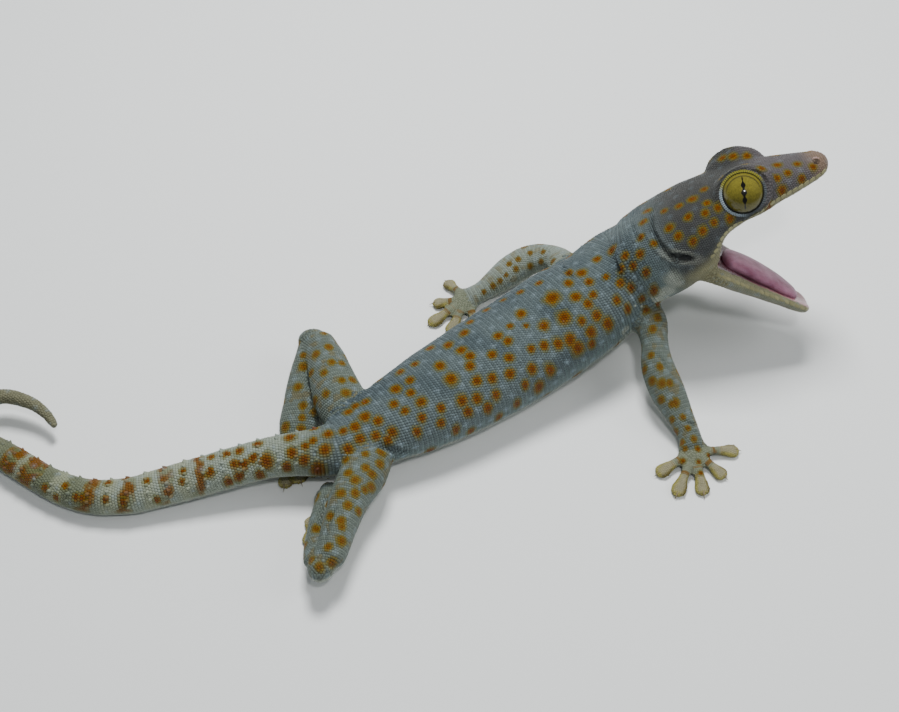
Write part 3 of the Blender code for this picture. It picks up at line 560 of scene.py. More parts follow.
class Tube:
    """One lofted length of the body, from which both skin and scales are laid."""

    def __init__(self, name, kind, stations, rounds=(0.0, 0.0), squareness=BODY_SQUARENESS,
                 place=None, upright=False, under=1.0, turn=None):
        self.name = name
        self.kind = kind
        self.line = Line(stations)
        self.rounds = rounds
        self.squareness = squareness
        self.place = place
        self.upright = upright
        self.under = under
        self.turn = turn
        self.length = self.line.length

    def axes(self, s):
        """Forward, left and up of the section at a distance."""
        if self.upright:
            return Vector((1, 0, 0)), Vector((0, 1, 0)), Vector((0, 0, self.under))
        forward = self.line.tangent(s)
        left = Vector((0, 0, 1)).cross(forward).normalized()
        if self.turn:
            left = Matrix.Rotation(-HEAD_ROLL * self.turn(s), 3, forward) @ left
        return forward, left, forward.cross(left)

    def end_scale(self, s):
        """How far a rounded end has closed in at a distance."""
        scale = 1.0
        for radius, d in zip(self.rounds, (s, self.length - s)):
            if radius and d < radius:
                scale *= math.sqrt(max(1.0 - ((radius - max(d, 0.0)) / radius) ** 2, END_LEAST))
        return scale

    def ring(self, s, sides):
        """Points round the section at a distance, from the left side over the back."""
        row = self.line.row(s)
        scale = self.end_scale(s)
        half_width, rise, drop = row[3:6] * scale
        hollow = row[6] * scale if len(row) > 6 else 0.0
        turned = self.turn(s) if self.turn else 0.0
        upper, lower = (a + (b - a) * turned for a, b in zip(self.squareness, HEAD_SQUARENESS))
        angle = 2 * math.pi * (np.arange(sides) + 0.5) / sides
        cos = np.cos(angle)
        sin = np.sin(angle)
        power = np.where(sin >= 0, 2.0 / upper, 2.0 / lower)
        across = half_width * np.sign(cos) * np.abs(cos) ** power
        height = np.abs(sin) ** power
        inner = np.clip(1.0 - (across / (PALATE_SHARE * half_width)) ** 2, 0.0, 1.0)
        over = np.where(sin >= 0, rise * height, hollow * inner - drop * height)
        _, left, up = self.axes(s)
        return row[:3] + np.outer(across, left) + np.outer(over, up)

    def across(self, s, sides):
        """Distance from the middle line of the points of a ring, its first repeated at the end."""
        angle = 2 * math.pi * (np.arange(sides + 1) + 0.5) / sides
        upper, lower = self.squareness
        power = np.where(np.sin(angle) >= 0, 2.0 / upper, 2.0 / lower)
        half = self.line.row(s)[3] * self.end_scale(s)
        return half * np.sign(np.cos(angle)) * np.abs(np.cos(angle)) ** power

    def forward(self, s):
        """Direction along the length, in the body's frame."""
        ahead = self.axes(s)[0]
        return self.place.to_3x3() @ ahead if self.place else ahead

    def girth(self, s):
        """Length round the section at a distance."""
        ring = self.ring(s, 24)
        return float(np.linalg.norm(ring - np.roll(ring, 1, axis=0), axis=1).sum())

    def in_body(self, points):
        """Points of this length's own frame, in the body's frame."""
        if self.place is None:
            return points
        place = np.array(self.place)
        return points @ place[:3, :3].T + place[:3, 3]

    def stops(self, step):
        """Distances of the rings, set closer where an end is rounded."""
        start, end = self.rounds
        stops = [start * (1 - math.cos(a)) for a in END_ANGLES] if start else [0.0]
        first = start
        last = self.length - end
        count = max(1, round((last - first) / step))
        stops += [first + (last - first) * i / count for i in range(count + 1)]
        if end:
            stops += [self.length - end * (1 - math.cos(a)) for a in reversed(END_ANGLES)]
        return sorted(set(round(s, 4) for s in stops))

    def mesh_into(self, bm, step, sides):
        """Add the closed loft to a mesh: a grid rolled up over the rings, with its ends closed."""
        rings = [self.in_body(self.ring(s, sides)) for s in self.stops(step)]
        poles = [Vector(self.in_body(self.line.row(s)[None, :3])[0]) for s in (0.0, self.length)]
        made = bmesh.ops.create_grid(bm, x_segments=len(rings) - 1, y_segments=sides, size=1.0)
        for vert in made["verts"]:
            i = round((vert.co.x + 1.0) / 2.0 * (len(rings) - 1))
            k = round((vert.co.y + 1.0) / 2.0 * sides) % sides
            vert.co = rings[i][k]
        bmesh.ops.remove_doubles(bm, verts=made["verts"], dist=WELD)
        open_edges = [edge for edge in bm.edges if edge.is_boundary]
        ends = bmesh.ops.edgeloop_fill(bm, edges=open_edges)["faces"]
        for pole in bmesh.ops.poke(bm, faces=ends)["verts"]:
            middle = pole.co.copy()
            pole.co = min(poles, key=lambda place: (place - middle).length)


def head_matrix():
    """The head's frame: x along the lip line, y to its left, z over its crown."""
    turn = (Matrix.Rotation(HEAD_YAW, 4, "Z") @ Matrix.Rotation(-HEAD_PITCH, 4, "Y")
            @ Matrix.Rotation(-HEAD_ROLL, 4, "X"))
    return Matrix.Translation(HEAD_BASE) @ turn


def jaw_matrix():
    """Turns the shut lower jaw open about its hinge, in the head's frame."""
    swing = Matrix.Rotation(GAPE, 4, "Y")
    return head_matrix() @ Matrix.Translation(JAW_HINGE) @ swing @ Matrix.Translation(-JAW_HINGE)


def mirrored(point, side):
    """A place on the left half of the head, or with a side of -1 on the right."""
    return Vector((point[0], point[1] * side, point[2]))


def along_head(stations):
    """Head stations set on the head's own x axis."""
    return [(x, 0.0, z, width, rise, drop, hollow) for x, z, width, rise, drop, hollow in stations]


def spine_tube():
    """Tail tip to the head's base, turned to meet the rolled head."""
    place = head_matrix()
    x, z, width, rise, drop, _ = HEAD_STATIONS[0]
    ends = [(*(place @ Vector((x + offset, 0.0, z))), width * scale, rise * scale, drop * scale)
            for offset, scale in NECK_GUIDES]
    tube = Tube("spine", "spine", [*TAIL_STATIONS, *TRUNK_STATIONS, *ends], (0.9, 0.0))
    count = len(TAIL_STATIONS) + len(TRUNK_STATIONS)
    start = tube.line.distance(count - 1) - NECK_TURN_LEAD
    end = tube.line.distance(count + 1)

    def turn(s):
        t = min(max((s - start) / (end - start), 0.0), 1.0)
        return t * t * (3 - 2 * t)

    tube.turn = turn
    return tube


def toe_tube(name, palm, tip):
    """One toe, widening to its pad."""
    end = Vector((*tip, TIP_HEIGHT))
    start = Vector(palm)
    middle = start.lerp(end, 0.5)
    middle.z = KNUCKLE_HEIGHT
    pad = start.lerp(end, 0.8)
    return Tube(name, "toe", [
        (*start, 1.6, 1.2, 1.2),
        (*middle, TOE_RADIUS * 0.9, 1.05, 1.1),
        (*pad[:2], 1.0, PAD_HALF_WIDTH * 0.8, 0.85, 1.1),
        (*end[:2], TIP_HEIGHT, PAD_HALF_WIDTH * 0.66, 0.75, 1.0),
    ], (0.0, TOE_ROUND))


def limb_tubes():
    """Every leg's lengths and toes."""
    tubes = []
    for side, arm, tips in (("right", ARM_RIGHT, HAND_RIGHT_TIPS), ("left", ARM_LEFT, HAND_LEFT_TIPS)):
        tubes.append(Tube(f"arm_{side}", "arm", arm, (0.0, 1.6)))
        palm = (*arm[-1][:2], PALM_HEIGHT)
        tubes += [toe_tube(f"finger_{side}_{i}", palm, tip) for i, tip in enumerate(tips)]
    for side, thigh, shank, palm, tips in (
            ("right", THIGH_RIGHT, SHANK_RIGHT, PALM_RIGHT, FOOT_RIGHT_TIPS),
            ("left", THIGH_LEFT, SHANK_LEFT, PALM_LEFT, FOOT_LEFT_TIPS)):
        tubes.append(Tube(f"thigh_{side}", "leg", thigh, (0.0, 3.0)))
        tubes.append(Tube(f"shank_{side}", "leg", shank, (1.6, 1.4)))
        tubes += [toe_tube(f"toe_{side}_{i}", palm, tip) for i, tip in enumerate(tips)]
    return tubes


def body_tubes():
    """Every loft of the hide: the spine first, then the head, the lower jaw and the limbs."""
    head = Tube("head", "head", along_head(HEAD_STATIONS), (0.0, HEAD_ROUND), HEAD_SQUARENESS,
                head_matrix(), True)
    flipped = [(x, z, width, drop, rise, hollow) for x, z, width, rise, drop, hollow in JAW_STATIONS]
    jaw = Tube("jaw", "jaw", along_head(flipped), (0.0, HEAD_ROUND), JAW_SQUARENESS, jaw_matrix(),
               True, -1.0)
    return [spine_tube(), head, jaw, *limb_tubes()]


def camera_axes():
    """Right, up and back of the photographed view."""
    turn = Matrix.Rotation(CAMERA_TURN, 3, "Z")
    back = turn @ Vector((0.0, -math.cos(CAMERA_RISE), math.sin(CAMERA_RISE)))
    right = turn @ Vector((1.0, 0.0, 0.0))
    return right, back.cross(right), back


def camera_place():
    """Where the photograph was taken from."""
    return CAMERA_AIM + camera_axes()[2] * CAMERA_FAR


def sight(u, v):
    """Direction of the line of sight through a point of the picture."""
    right, up, back = camera_axes()
    reach = PHOTO_WIDE * LENS / SENSOR
    return (right * (u - PHOTO_WIDE / 2) + up * (PHOTO_TALL / 2 - v) - back * reach).normalized()


def seen_at(skin_tree, u, v):
    """Where a line of sight first meets the skin."""
    return skin_tree.ray_cast(camera_place(), sight(u, v))[0]


def made_mesh(bm, name):
    """A mesh from a bmesh, with its normals turned outward."""
    bmesh.ops.recalc_face_normals(bm, faces=bm.faces)
    mesh = bpy.data.meshes.new(name)
    bm.to_mesh(mesh)
    bm.free()
    return mesh


def ball_into(bm, centre, radii, place=None):
    """Add an ellipsoid to the flesh."""
    made = bmesh.ops.create_uvsphere(bm, u_segments=48, v_segments=32, radius=1.0)
    shape = (place or Matrix.Identity(4)) @ Matrix.Translation(centre) @ Matrix.Diagonal((*radii, 1.0))
    bmesh.ops.transform(bm, matrix=shape, verts=made["verts"])


def flesh(tubes):
    """All lofts and swellings as one heap of closed forms."""
    bm = bmesh.new()
    for tube in tubes:
        tube.mesh_into(bm, *MESH_STEPS[tube.kind])
    for palm in (ARM_RIGHT[-1], ARM_LEFT[-1], PALM_RIGHT, PALM_LEFT):
        ball_into(bm, (*palm[:2], PALM_HEIGHT), PALM_RADII)
    for middle, radii, turn in JOINT_SWELLINGS:
        ball_into(bm, (0.0, 0.0, 0.0), radii,
                  Matrix.Translation(middle) @ Matrix.Rotation(math.radians(turn), 4, "Z"))
    for side in (-1, 1):
        centre = mirrored(EYE_CENTRE, side)
        axis = mirrored(EYE_AXIS, side)
        ball_into(bm, centre + mirrored(BROW_OFFSET, side), BROW_RADII, head_matrix())
        ball_into(bm, centre - axis * SOCKET_SINK, (SOCKET_RADIUS,) * 3, head_matrix())
    return made_mesh(bm, "flesh")


def applied(mesh, name, setup):
    """A mesh with one modifier worked into it."""
    obj = bpy.data.objects.new(name, mesh)
    bpy.context.scene.collection.objects.link(obj)
    setup(obj)
    bpy.context.view_layer.update()
    graph = bpy.context.evaluated_depsgraph_get()
    made = bpy.data.meshes.new_from_object(obj.evaluated_get(graph))
    bpy.data.objects.remove(obj)
    bpy.data.meshes.remove(mesh)
    return made


def wrap(obj):
    """One even skin over all the forms of a heap."""
    modifier = obj.modifiers.new("wrap", "REMESH")
    modifier.mode = "VOXEL"
    modifier.voxel_size = VOXEL
    modifier.adaptivity = 0.0


def coords_of(mesh):
    """The places of a mesh's points, one row each."""
    co = np.empty(len(mesh.vertices) * 3, np.float32)
    mesh.vertices.foreach_get("co", co)
    return co.reshape(-1, 3).astype(float)


def normals_of(mesh):
    """The outward directions at a mesh's points, one row each."""
    out = np.empty(len(mesh.vertices) * 3, np.float32)
    mesh.vertex_normals.foreach_get("vector", out)
    return out.reshape(-1, 3).astype(float)


def set_coords(mesh, co):
    """Move a mesh's points to new places."""
    mesh.vertices.foreach_set("co", co.astype(np.float32).ravel())
    mesh.update()


def tree_of(mesh):
    """A mesh ready to be met by lines of sight."""
    co = coords_of(mesh)
    return BVHTree.FromPolygons([tuple(c) for c in co], [tuple(p.vertices) for p in mesh.polygons])


def smoothed(mesh, passes, middle=Vector(), reach=1000.0):
    """Even out a mesh within reach of a place."""
    bm = bmesh.new()
    bm.from_mesh(mesh)
    chosen = [v for v in bm.verts if (v.co - middle).length < reach]
    for _ in range(passes):
        bmesh.ops.smooth_vert(bm, verts=chosen, factor=0.5,
                              use_axis_x=True, use_axis_y=True, use_axis_z=True)
    bm.to_mesh(mesh)
    bm.free()


def fold_points(tree):
    """Close points along every fold on the skin, with its depth and half width."""
    rows = []
    for depth, width, marks in FOLDS:
        whole = sum(math.dist(a, b) for a, b in zip(marks, marks[1:]))
        done = 0.0
        for (u0, v0), (u1, v1) in zip(marks, marks[1:]):
            leg = math.dist((u0, v0), (u1, v1))
            count = max(2, round(leg))
            for k in range(count):
                t = k / count
                share = (done + leg * t) / whole
                hit = seen_at(tree, u0 + (u1 - u0) * t, v0 + (v1 - v0) * t)
                if hit:
                    ease = min(1.0, 0.1 + FOLD_EASE * min(share, 1.0 - share))
                    rows.append((hit, depth * ease, width))
            done += leg
    return rows


def opened_over_eye(co, side):
    """Shave the brow to an even rim round one eye and draw the hide in under the eyeball."""
    centre, axis, _, _ = eye_axes(side)
    axis = np.array(axis)
    offset = co - np.array(centre)
    height = offset @ axis
    radial = np.linalg.norm(offset - height[:, None] * axis, axis=1)
    limit = RIM_OUT + 0.25 + 0.75 * np.clip(radial - 6.0, 0.0, 9.0)
    near = smooth(SHAVED_FAR, SHAVED_FAR - 3.0, np.linalg.norm(offset, axis=1))
    shave = np.where(height > 0, np.clip(height - limit, 0.0, None), 0.0) * near
    ledge = smooth(EYE_OPENING + 0.1, EYE_OPENING + 0.5, radial) * smooth(*LEDGE_FADE, radial)
    raised = np.where(height > 0.3, np.clip(RIM_OUT + 0.3 - height, 0.0, None), 0.0) * ledge * near
    co = co + axis * (raised - shave)[:, None]
    offset = co - np.array(centre)
    far = np.linalg.norm(offset, axis=1)
    inner = smooth(EYE_OPENING + 0.3, EYE_OPENING - 0.1, radial) * (height > 0.5) * near
    pull = np.clip(far - UNDER_EYE, 0.0, None) * inner
    return co - offset / far[:, None] * pull[:, None]


def nostril_place(tree, side):
    """Where one nostril opens on the hide, and the way it faces."""
    place = head_matrix()
    axis = (place.to_3x3() @ Vector((0.25, side * 0.95, 0.45))).normalized()
    middle = place @ mirrored(NOSTRIL, side)
    hit, _, _, _ = tree.ray_cast(middle + axis * 6.0, -axis, 9.0)
    return hit or middle, axis


def pressed(mesh, tree):
    """Press folds, ear cups and nostrils into the skin; returns how creased each point is."""
    co = coords_of(mesh)
    crease = np.zeros(len(co))
    rows = fold_points(tree)
    folds = tree_of_points([hit for hit, _, _ in rows])
    nostrils = [nostril_place(tree, side)[0] for side in (-1, 1)]
    for side in (-1, 1):
        co = opened_over_eye(co, side)
    push = np.zeros(len(co))
    for i, point in enumerate(co):
        _, index, far = folds.find(point)
        depth, width = rows[index][1:]
        near = far / width
        if near < 3.2:
            push[i] -= depth * math.exp(-near * near) - 0.3 * depth * math.exp(-(near - 1.9) ** 2 * 1.6)
            crease[i] = math.exp(-near * near * 1.3) * min(1.0, depth * 1.6)
    for side in (-1, 1):
        dip = np.clip(1.15 - ear_reach(co, side), 0.0, 1.0)
        push -= EAR_DEPTH * np.clip(dip * 2.2, 0, 1) ** 1.5
        crease = np.maximum(crease, np.clip(dip * 2.0, 0, 1) ** 1.5 * 0.75)
    for nostril in nostrils:
        far = np.linalg.norm(co - np.array(nostril), axis=1)
        push -= NOSTRIL_DEPTH * np.clip((NOSTRIL_REACH - far) / 0.6, 0, 1)
        crease = np.maximum(crease, np.clip((NOSTRIL_REACH - 0.1 - far) / 0.4, 0, 1))
    push += WRINKLE_DEPTH * ripple(co, WRINKLE_SIZE, 0)
    co += normals_of(mesh) * push[:, None]
    co[:, 2] = np.maximum(co[:, 2], FLOOR_CLEARANCE)
    set_coords(mesh, co)
    return crease


def make_skin(tubes):
    """The whole hide as one closed mesh, with the crease of every point."""
    mesh = applied(flesh(tubes), "flesh", wrap)
    mesh.name = "skin"
    smoothed(mesh, SMOOTH_PASSES)
    smoothed(mesh, NAPE_PASSES, NAPE, NAPE_REACH)
    co = coords_of(mesh) - normals_of(mesh) * SKIN_INSET
    co[:, 2] = np.maximum(co[:, 2], FLOOR_CLEARANCE)
    set_coords(mesh, co)
    crease = pressed(mesh, tree_of(mesh))
    return mesh, crease


def side_shelf(tubes):
    """Where each length's unrolled strip lies on the square that the scales are baked to."""
    places = {}
    row_start = 2.0
    row_high = 0.0
    along = 2.0
    for tube in sorted(tubes, key=lambda t: -t.length):
        girth = max(tube.girth(s) for s in np.linspace(0, tube.length, 12))
        if along + tube.length > BAKE_SPAN - 2.0:
            along = 2.0
            row_start += row_high + 2.0
            row_high = 0.0
        places[tube.name] = (along, row_start)
        along += tube.length + 2.0
        row_high = max(row_high, girth)
    return places


class Spaced:
    """Places kept apart, sorted into cubes so that only near ones are compared."""

    def __init__(self, cell):
        self.cell = cell
        self.cubes = {}

    def takes(self, point, spacing):
        """Keep a place unless another lies within the spacing, and say whether it was kept."""
        key = tuple(int(c // self.cell) for c in point)
        for cube in product(*((c - 1, c, c + 1) for c in key)):
            for other in self.cubes.get(cube, ()):
                if (other - point).length_squared < spacing * spacing:
                    return False
        self.cubes.setdefault(key, []).append(point)
        return True


class Seats:
    """Places of scales: rows as they are found, and an array for each column once frozen."""

    def __init__(self):
        self.rows = []

    def add(self, *row):
        """Add one scale's row, its values in the order of the columns."""
        self.rows.append(row)

    def freeze(self):
        """Make the arrays from the rows."""
        for name, column in zip(SEAT_COLUMNS, zip(*self.rows)):
            setattr(self, name, np.array(column))
        return self

    def only(self, mask):
        """The seats that a mask or a list of numbers picks out."""
        part = Seats()
        for name in SEAT_COLUMNS:
            setattr(part, name, getattr(self, name)[mask])
        return part


def zone_of(tube, s):
    """The kind of scale that a place on a length carries."""
    if tube.kind == "spine":
        return "tail" if s < TAIL_ROOT else "trunk"
    return tube.kind


def is_lining(tube, s, angle, across):
    """Whether a place lies inside the open mouth."""
    if tube.kind not in MOUTH_CORNER or s <= MOUTH_CORNER[tube.kind]:
        return False
    return math.sin(angle) < -0.02 and abs(across) < LINING_WIDTH


def candidates(tube):
    """Evenly spread places on a length with their outward directions."""
    s = 0.15
    row = 0
    while s < tube.length:
        zone = zone_of(tube, s)
        pitch = SCALE_PITCH[zone]
        ring = tube.in_body(tube.ring(s, RING_DENSE))
        centre = ring.mean(axis=0)
        around = np.vstack([ring, ring[:1]])
        arc = np.concatenate([[0.0], np.cumsum(np.linalg.norm(np.diff(around, axis=0), axis=1))])
        count = max(5, round(arc[-1] / pitch))
        at = (np.arange(count) + 0.5 * (row % 2)) / count * arc[-1]
        points = np.stack([np.interp(at, arc, c) for c in around.T], axis=1)
        ahead = np.stack([np.interp((at + 0.3) % arc[-1], arc, c) for c in around.T], axis=1)
        behind = np.stack([np.interp((at - 0.3) % arc[-1], arc, c) for c in around.T], axis=1)
        forward = np.array(tube.forward(s))
        normal = np.cross(ahead - behind, forward)
        normal /= np.linalg.norm(normal, axis=1)[:, None] + 1e-9
        normal *= np.where((normal * (points - centre)).sum(axis=1) < 0, -1.0, 1.0)[:, None]
        angles = np.interp(at, arc, 2 * math.pi * (np.arange(RING_DENSE + 1) + 0.5) / RING_DENSE)
        half = tube.line.row(s)[3] * tube.end_scale(s)
        across = np.interp(at, arc, tube.across(s, RING_DENSE)) / max(half, 0.01)
        for k in range(count):
            yield s, angles[k], at[k], across[k], points[k], normal[k], forward, zone, pitch
        s += pitch * ROW_SHARE
        row += 1


def seat_scales(tubes, mesh, tree):
    """Set a scale on the skin at every place that the lofts give, none too close to another."""
    shelf = side_shelf(tubes)
    seats = Seats()
    lining = []
    nostrils = [nostril_place(tree, side)[0] for side in (-1, 1)]
    spaced = Spaced(SEAT_CELL)
    for number, tube in enumerate(tubes):
        left, low = shelf[tube.name]
        for s, angle, at, across, point, normal, forward, zone, pitch in candidates(tube):
            if is_lining(tube, s, angle, across):
                lining.append(point)
                continue
            start = Vector(point + normal * SEARCH_FAR[zone])
            hit, out, _, _ = tree.ray_cast(start, -Vector(normal), SEARCH_FAR[zone] + SEARCH_REACH[zone])
            if hit is None or out.dot(Vector(normal)) < SEAT_FACING or over_eye(hit) or in_ear(hit):
                continue
            if min((hit - place).length for place in nostrils) < NOSTRIL_REACH - 0.1:
                continue
            if not spaced.takes(hit, pitch * CROWDING):
                continue
            uv = ((left + s) / BAKE_SPAN, (low + at) / BAKE_SPAN)
            seats.add(tuple(hit), tuple(out), tuple(forward), zone, pitch, s, angle, uv, number)
    lining = tree_of_points(lining)
    seats.freeze()
    seats.rows += filled_up(seats, lining, mesh)
    return seats.freeze(), lining


def filled_up(seats, lining, mesh):
    """Seats for bare places, such as the steep brows and the bends of the knees."""
    known = tree_of_points(seats.point)
    added = Seats()
    spaced = Spaced(SEAT_CELL)
    out = normals_of(mesh)
    for number, place in enumerate(coords_of(mesh)):
        point = Vector(place)
        _, near, far = known.find(point)
        pitch = seats.size[near]
        if far < pitch * FILL_GAP or far > FILL_FAR or place[2] < FILL_LOW:
            continue
        if lining.find(point)[2] < far + LINING_CLEAR or over_eye(point) or in_ear(point):
            continue
        if not spaced.takes(point, pitch * FILL_SPACING):
            continue
        ahead = Vector(seats.forward[near])
        step = point - Vector(seats.point[near])
        along = step.dot(ahead)
        across = step.dot(Vector(seats.normal[near]).cross(ahead))
        uv = (seats.uv[near][0] + along / BAKE_SPAN, seats.uv[near][1] + across / BAKE_SPAN)
        added.add(tuple(point), tuple(out[number]), tuple(ahead), seats.kind[near], pitch,
                  seats.s[near] + along, seats.angle[near], uv, seats.tube[near])
    return added.rows


def in_ear(point):
    """Whether a place lies in one of the bare ear cups."""
    return min(ear_reach(np.array(point), side) for side in (-1, 1)) < EAR_BARE


def over_eye(point):
    """Whether a place lies in the opening over an eyeball."""
    for side in (-1, 1):
        centre, axis, _, _ = eye_axes(side)
        offset = Vector(point) - centre
        height = offset.dot(axis)
        if height > 0.5 and (offset - axis * height).length < EYE_OPENING + 0.15:
            return True
    return False


def form_of(bm):
    """Points and faces of a small form that is copied many times."""
    bmesh.ops.recalc_face_normals(bm, faces=bm.faces)
    bm.verts.index_update()
    points = np.array([tuple(v.co) for v in bm.verts])
    faces = [tuple(v.index for v in f.verts) for f in bm.faces]
    bm.free()
    return points, faces


def peaked_form(sides, levels):
    """A small upright form closing in to a point: each level has a radius and a height."""
    bm = bmesh.new()
    (foot, _), (first, rise) = levels[:2]
    made = bmesh.ops.create_cone(bm, cap_ends=True, segments=sides, radius1=foot, radius2=first,
                                 depth=rise)
    bmesh.ops.translate(bm, vec=(0.0, 0.0, rise / 2), verts=made["verts"])
    top = max(bm.faces, key=lambda f: f.calc_center_median().z)
    for (below, low), (radius, height) in zip(levels[1:], levels[2:]):
        top = bmesh.ops.extrude_discrete_faces(bm, faces=[top])["faces"][0]
        bmesh.ops.scale(bm, vec=(radius / below, radius / below, 1.0), verts=top.verts)
        bmesh.ops.translate(bm, vec=(0.0, 0.0, height - low), verts=top.verts)
    bmesh.ops.poke(bm, faces=[top])["verts"][0].co = (0.0, 0.0, 1.0)
    return form_of(bm)


def unit(rows):
    """Directions of length one."""
    return rows / (np.linalg.norm(rows, axis=1)[:, None] + 1e-12)


def tone_layer(mesh, rows):
    """The colours of a mesh's points, which its surface reads as its tone."""
    layer = mesh.color_attributes.new("tone", "FLOAT_COLOR", "POINT")
    layer.data.foreach_set("color", np.asarray(rows, np.float32).ravel())


def joined(name, shape, place, forward, out, sizes, colours, sink, uv=None):
    """Many copies of one small form as a single mesh, each sunk a little into the skin."""
    form, faces = shape
    out = unit(out)
    along = unit(forward - out * (forward * out).sum(axis=1)[:, None])
    side = np.cross(out, along)
    points = (place - out * sink)[:, None, :]
    for i, axis in enumerate((along, side, out)):
        points = points + form[None, :, i:i + 1] * (axis * sizes[:, i:i + 1])[:, None, :]
    count = len(place)
    per = len(form)
    loops = np.concatenate([np.array(f) for f in faces])
    lengths = np.array([len(f) for f in faces])
    starts = np.concatenate([[0], np.cumsum(lengths)[:-1]])
    mesh = bpy.data.meshes.new(name)
    mesh.vertices.add(count * per)
    mesh.loops.add(count * len(loops))
    mesh.polygons.add(count * len(faces))
    step = np.arange(count)[:, None]
    mesh.vertices.foreach_set("co", points.reshape(-1).astype(np.float32))
    mesh.loops.foreach_set("vertex_index", (loops[None] + step * per).ravel().astype(np.int32))
    mesh.polygons.foreach_set("loop_start", (starts[None] + step * len(loops)).ravel().astype(np.int32))
    mesh.update(calc_edges=True)
    tones = np.ones((count, per, 4), np.float32)
    tones[:, :, :3] = colours[:, None, :]
    tone_layer(mesh, tones)
    if uv is not None:
        layer = mesh.uv_layers.new(name="OFBake")
        spots = uv[:, None, :] + form[None, loops, :2] * BAKE_PATCH
        layer.data.foreach_set("uv", spots.ravel().astype(np.float32))
    mesh.validate()
    return mesh


def scale_mesh(name, seats, colours, draw):
    """The scales of some seats as one mesh, none quite the size of the next."""
    radius = seats.size * SCALE_SHARE
    height = (SCALE_HEIGHT + SCALE_SUNK) * seats.size / SCALE_TALL_AT
    sizes = np.stack([size * draw.uniform(low, high, len(size)) for size, low, high in (
        (radius, 0.94, 1.08), (radius, 0.92, 1.04), (height, 0.85, 1.15))], axis=1)
    return joined(name, peaked_form(6, GRANULE_LEVELS), seats.point, seats.forward, seats.normal,
                  sizes, colours, SCALE_SUNK, seats.uv)


def smooth(low, high, value):
    """A soft step from 0 at the first value to 1 at the second."""
    t = np.clip((value - low) / (high - low), 0.0, 1.0)
    return t * t * (3 - 2 * t)


def laid(base, colour, amount):
    """A colour laid over others by an amount for each row."""
    return base + (colour - base) * amount[:, None]


def ripple(points, size, seed):
    """Slow variation over the body, about -1 to 1."""
    shift = Vector((seed * 7.3, seed * 3.1, 0.0))
    return np.array([noise.noise(Vector(p) / size + shift) for p in points])


def stretched(point):
    """Spots on the flanks are taller than wide, so height counts for less."""
    return Vector((point[0], point[1], point[2] * SPOT_STRETCH))


def met_marks(tree, marks):
    """Where marks on the picture lie on the skin, each with what else is noted of it."""
    for u, v, *noted in marks:
        hit = seen_at(tree, u, v)
        if hit:
            yield (hit, *noted)


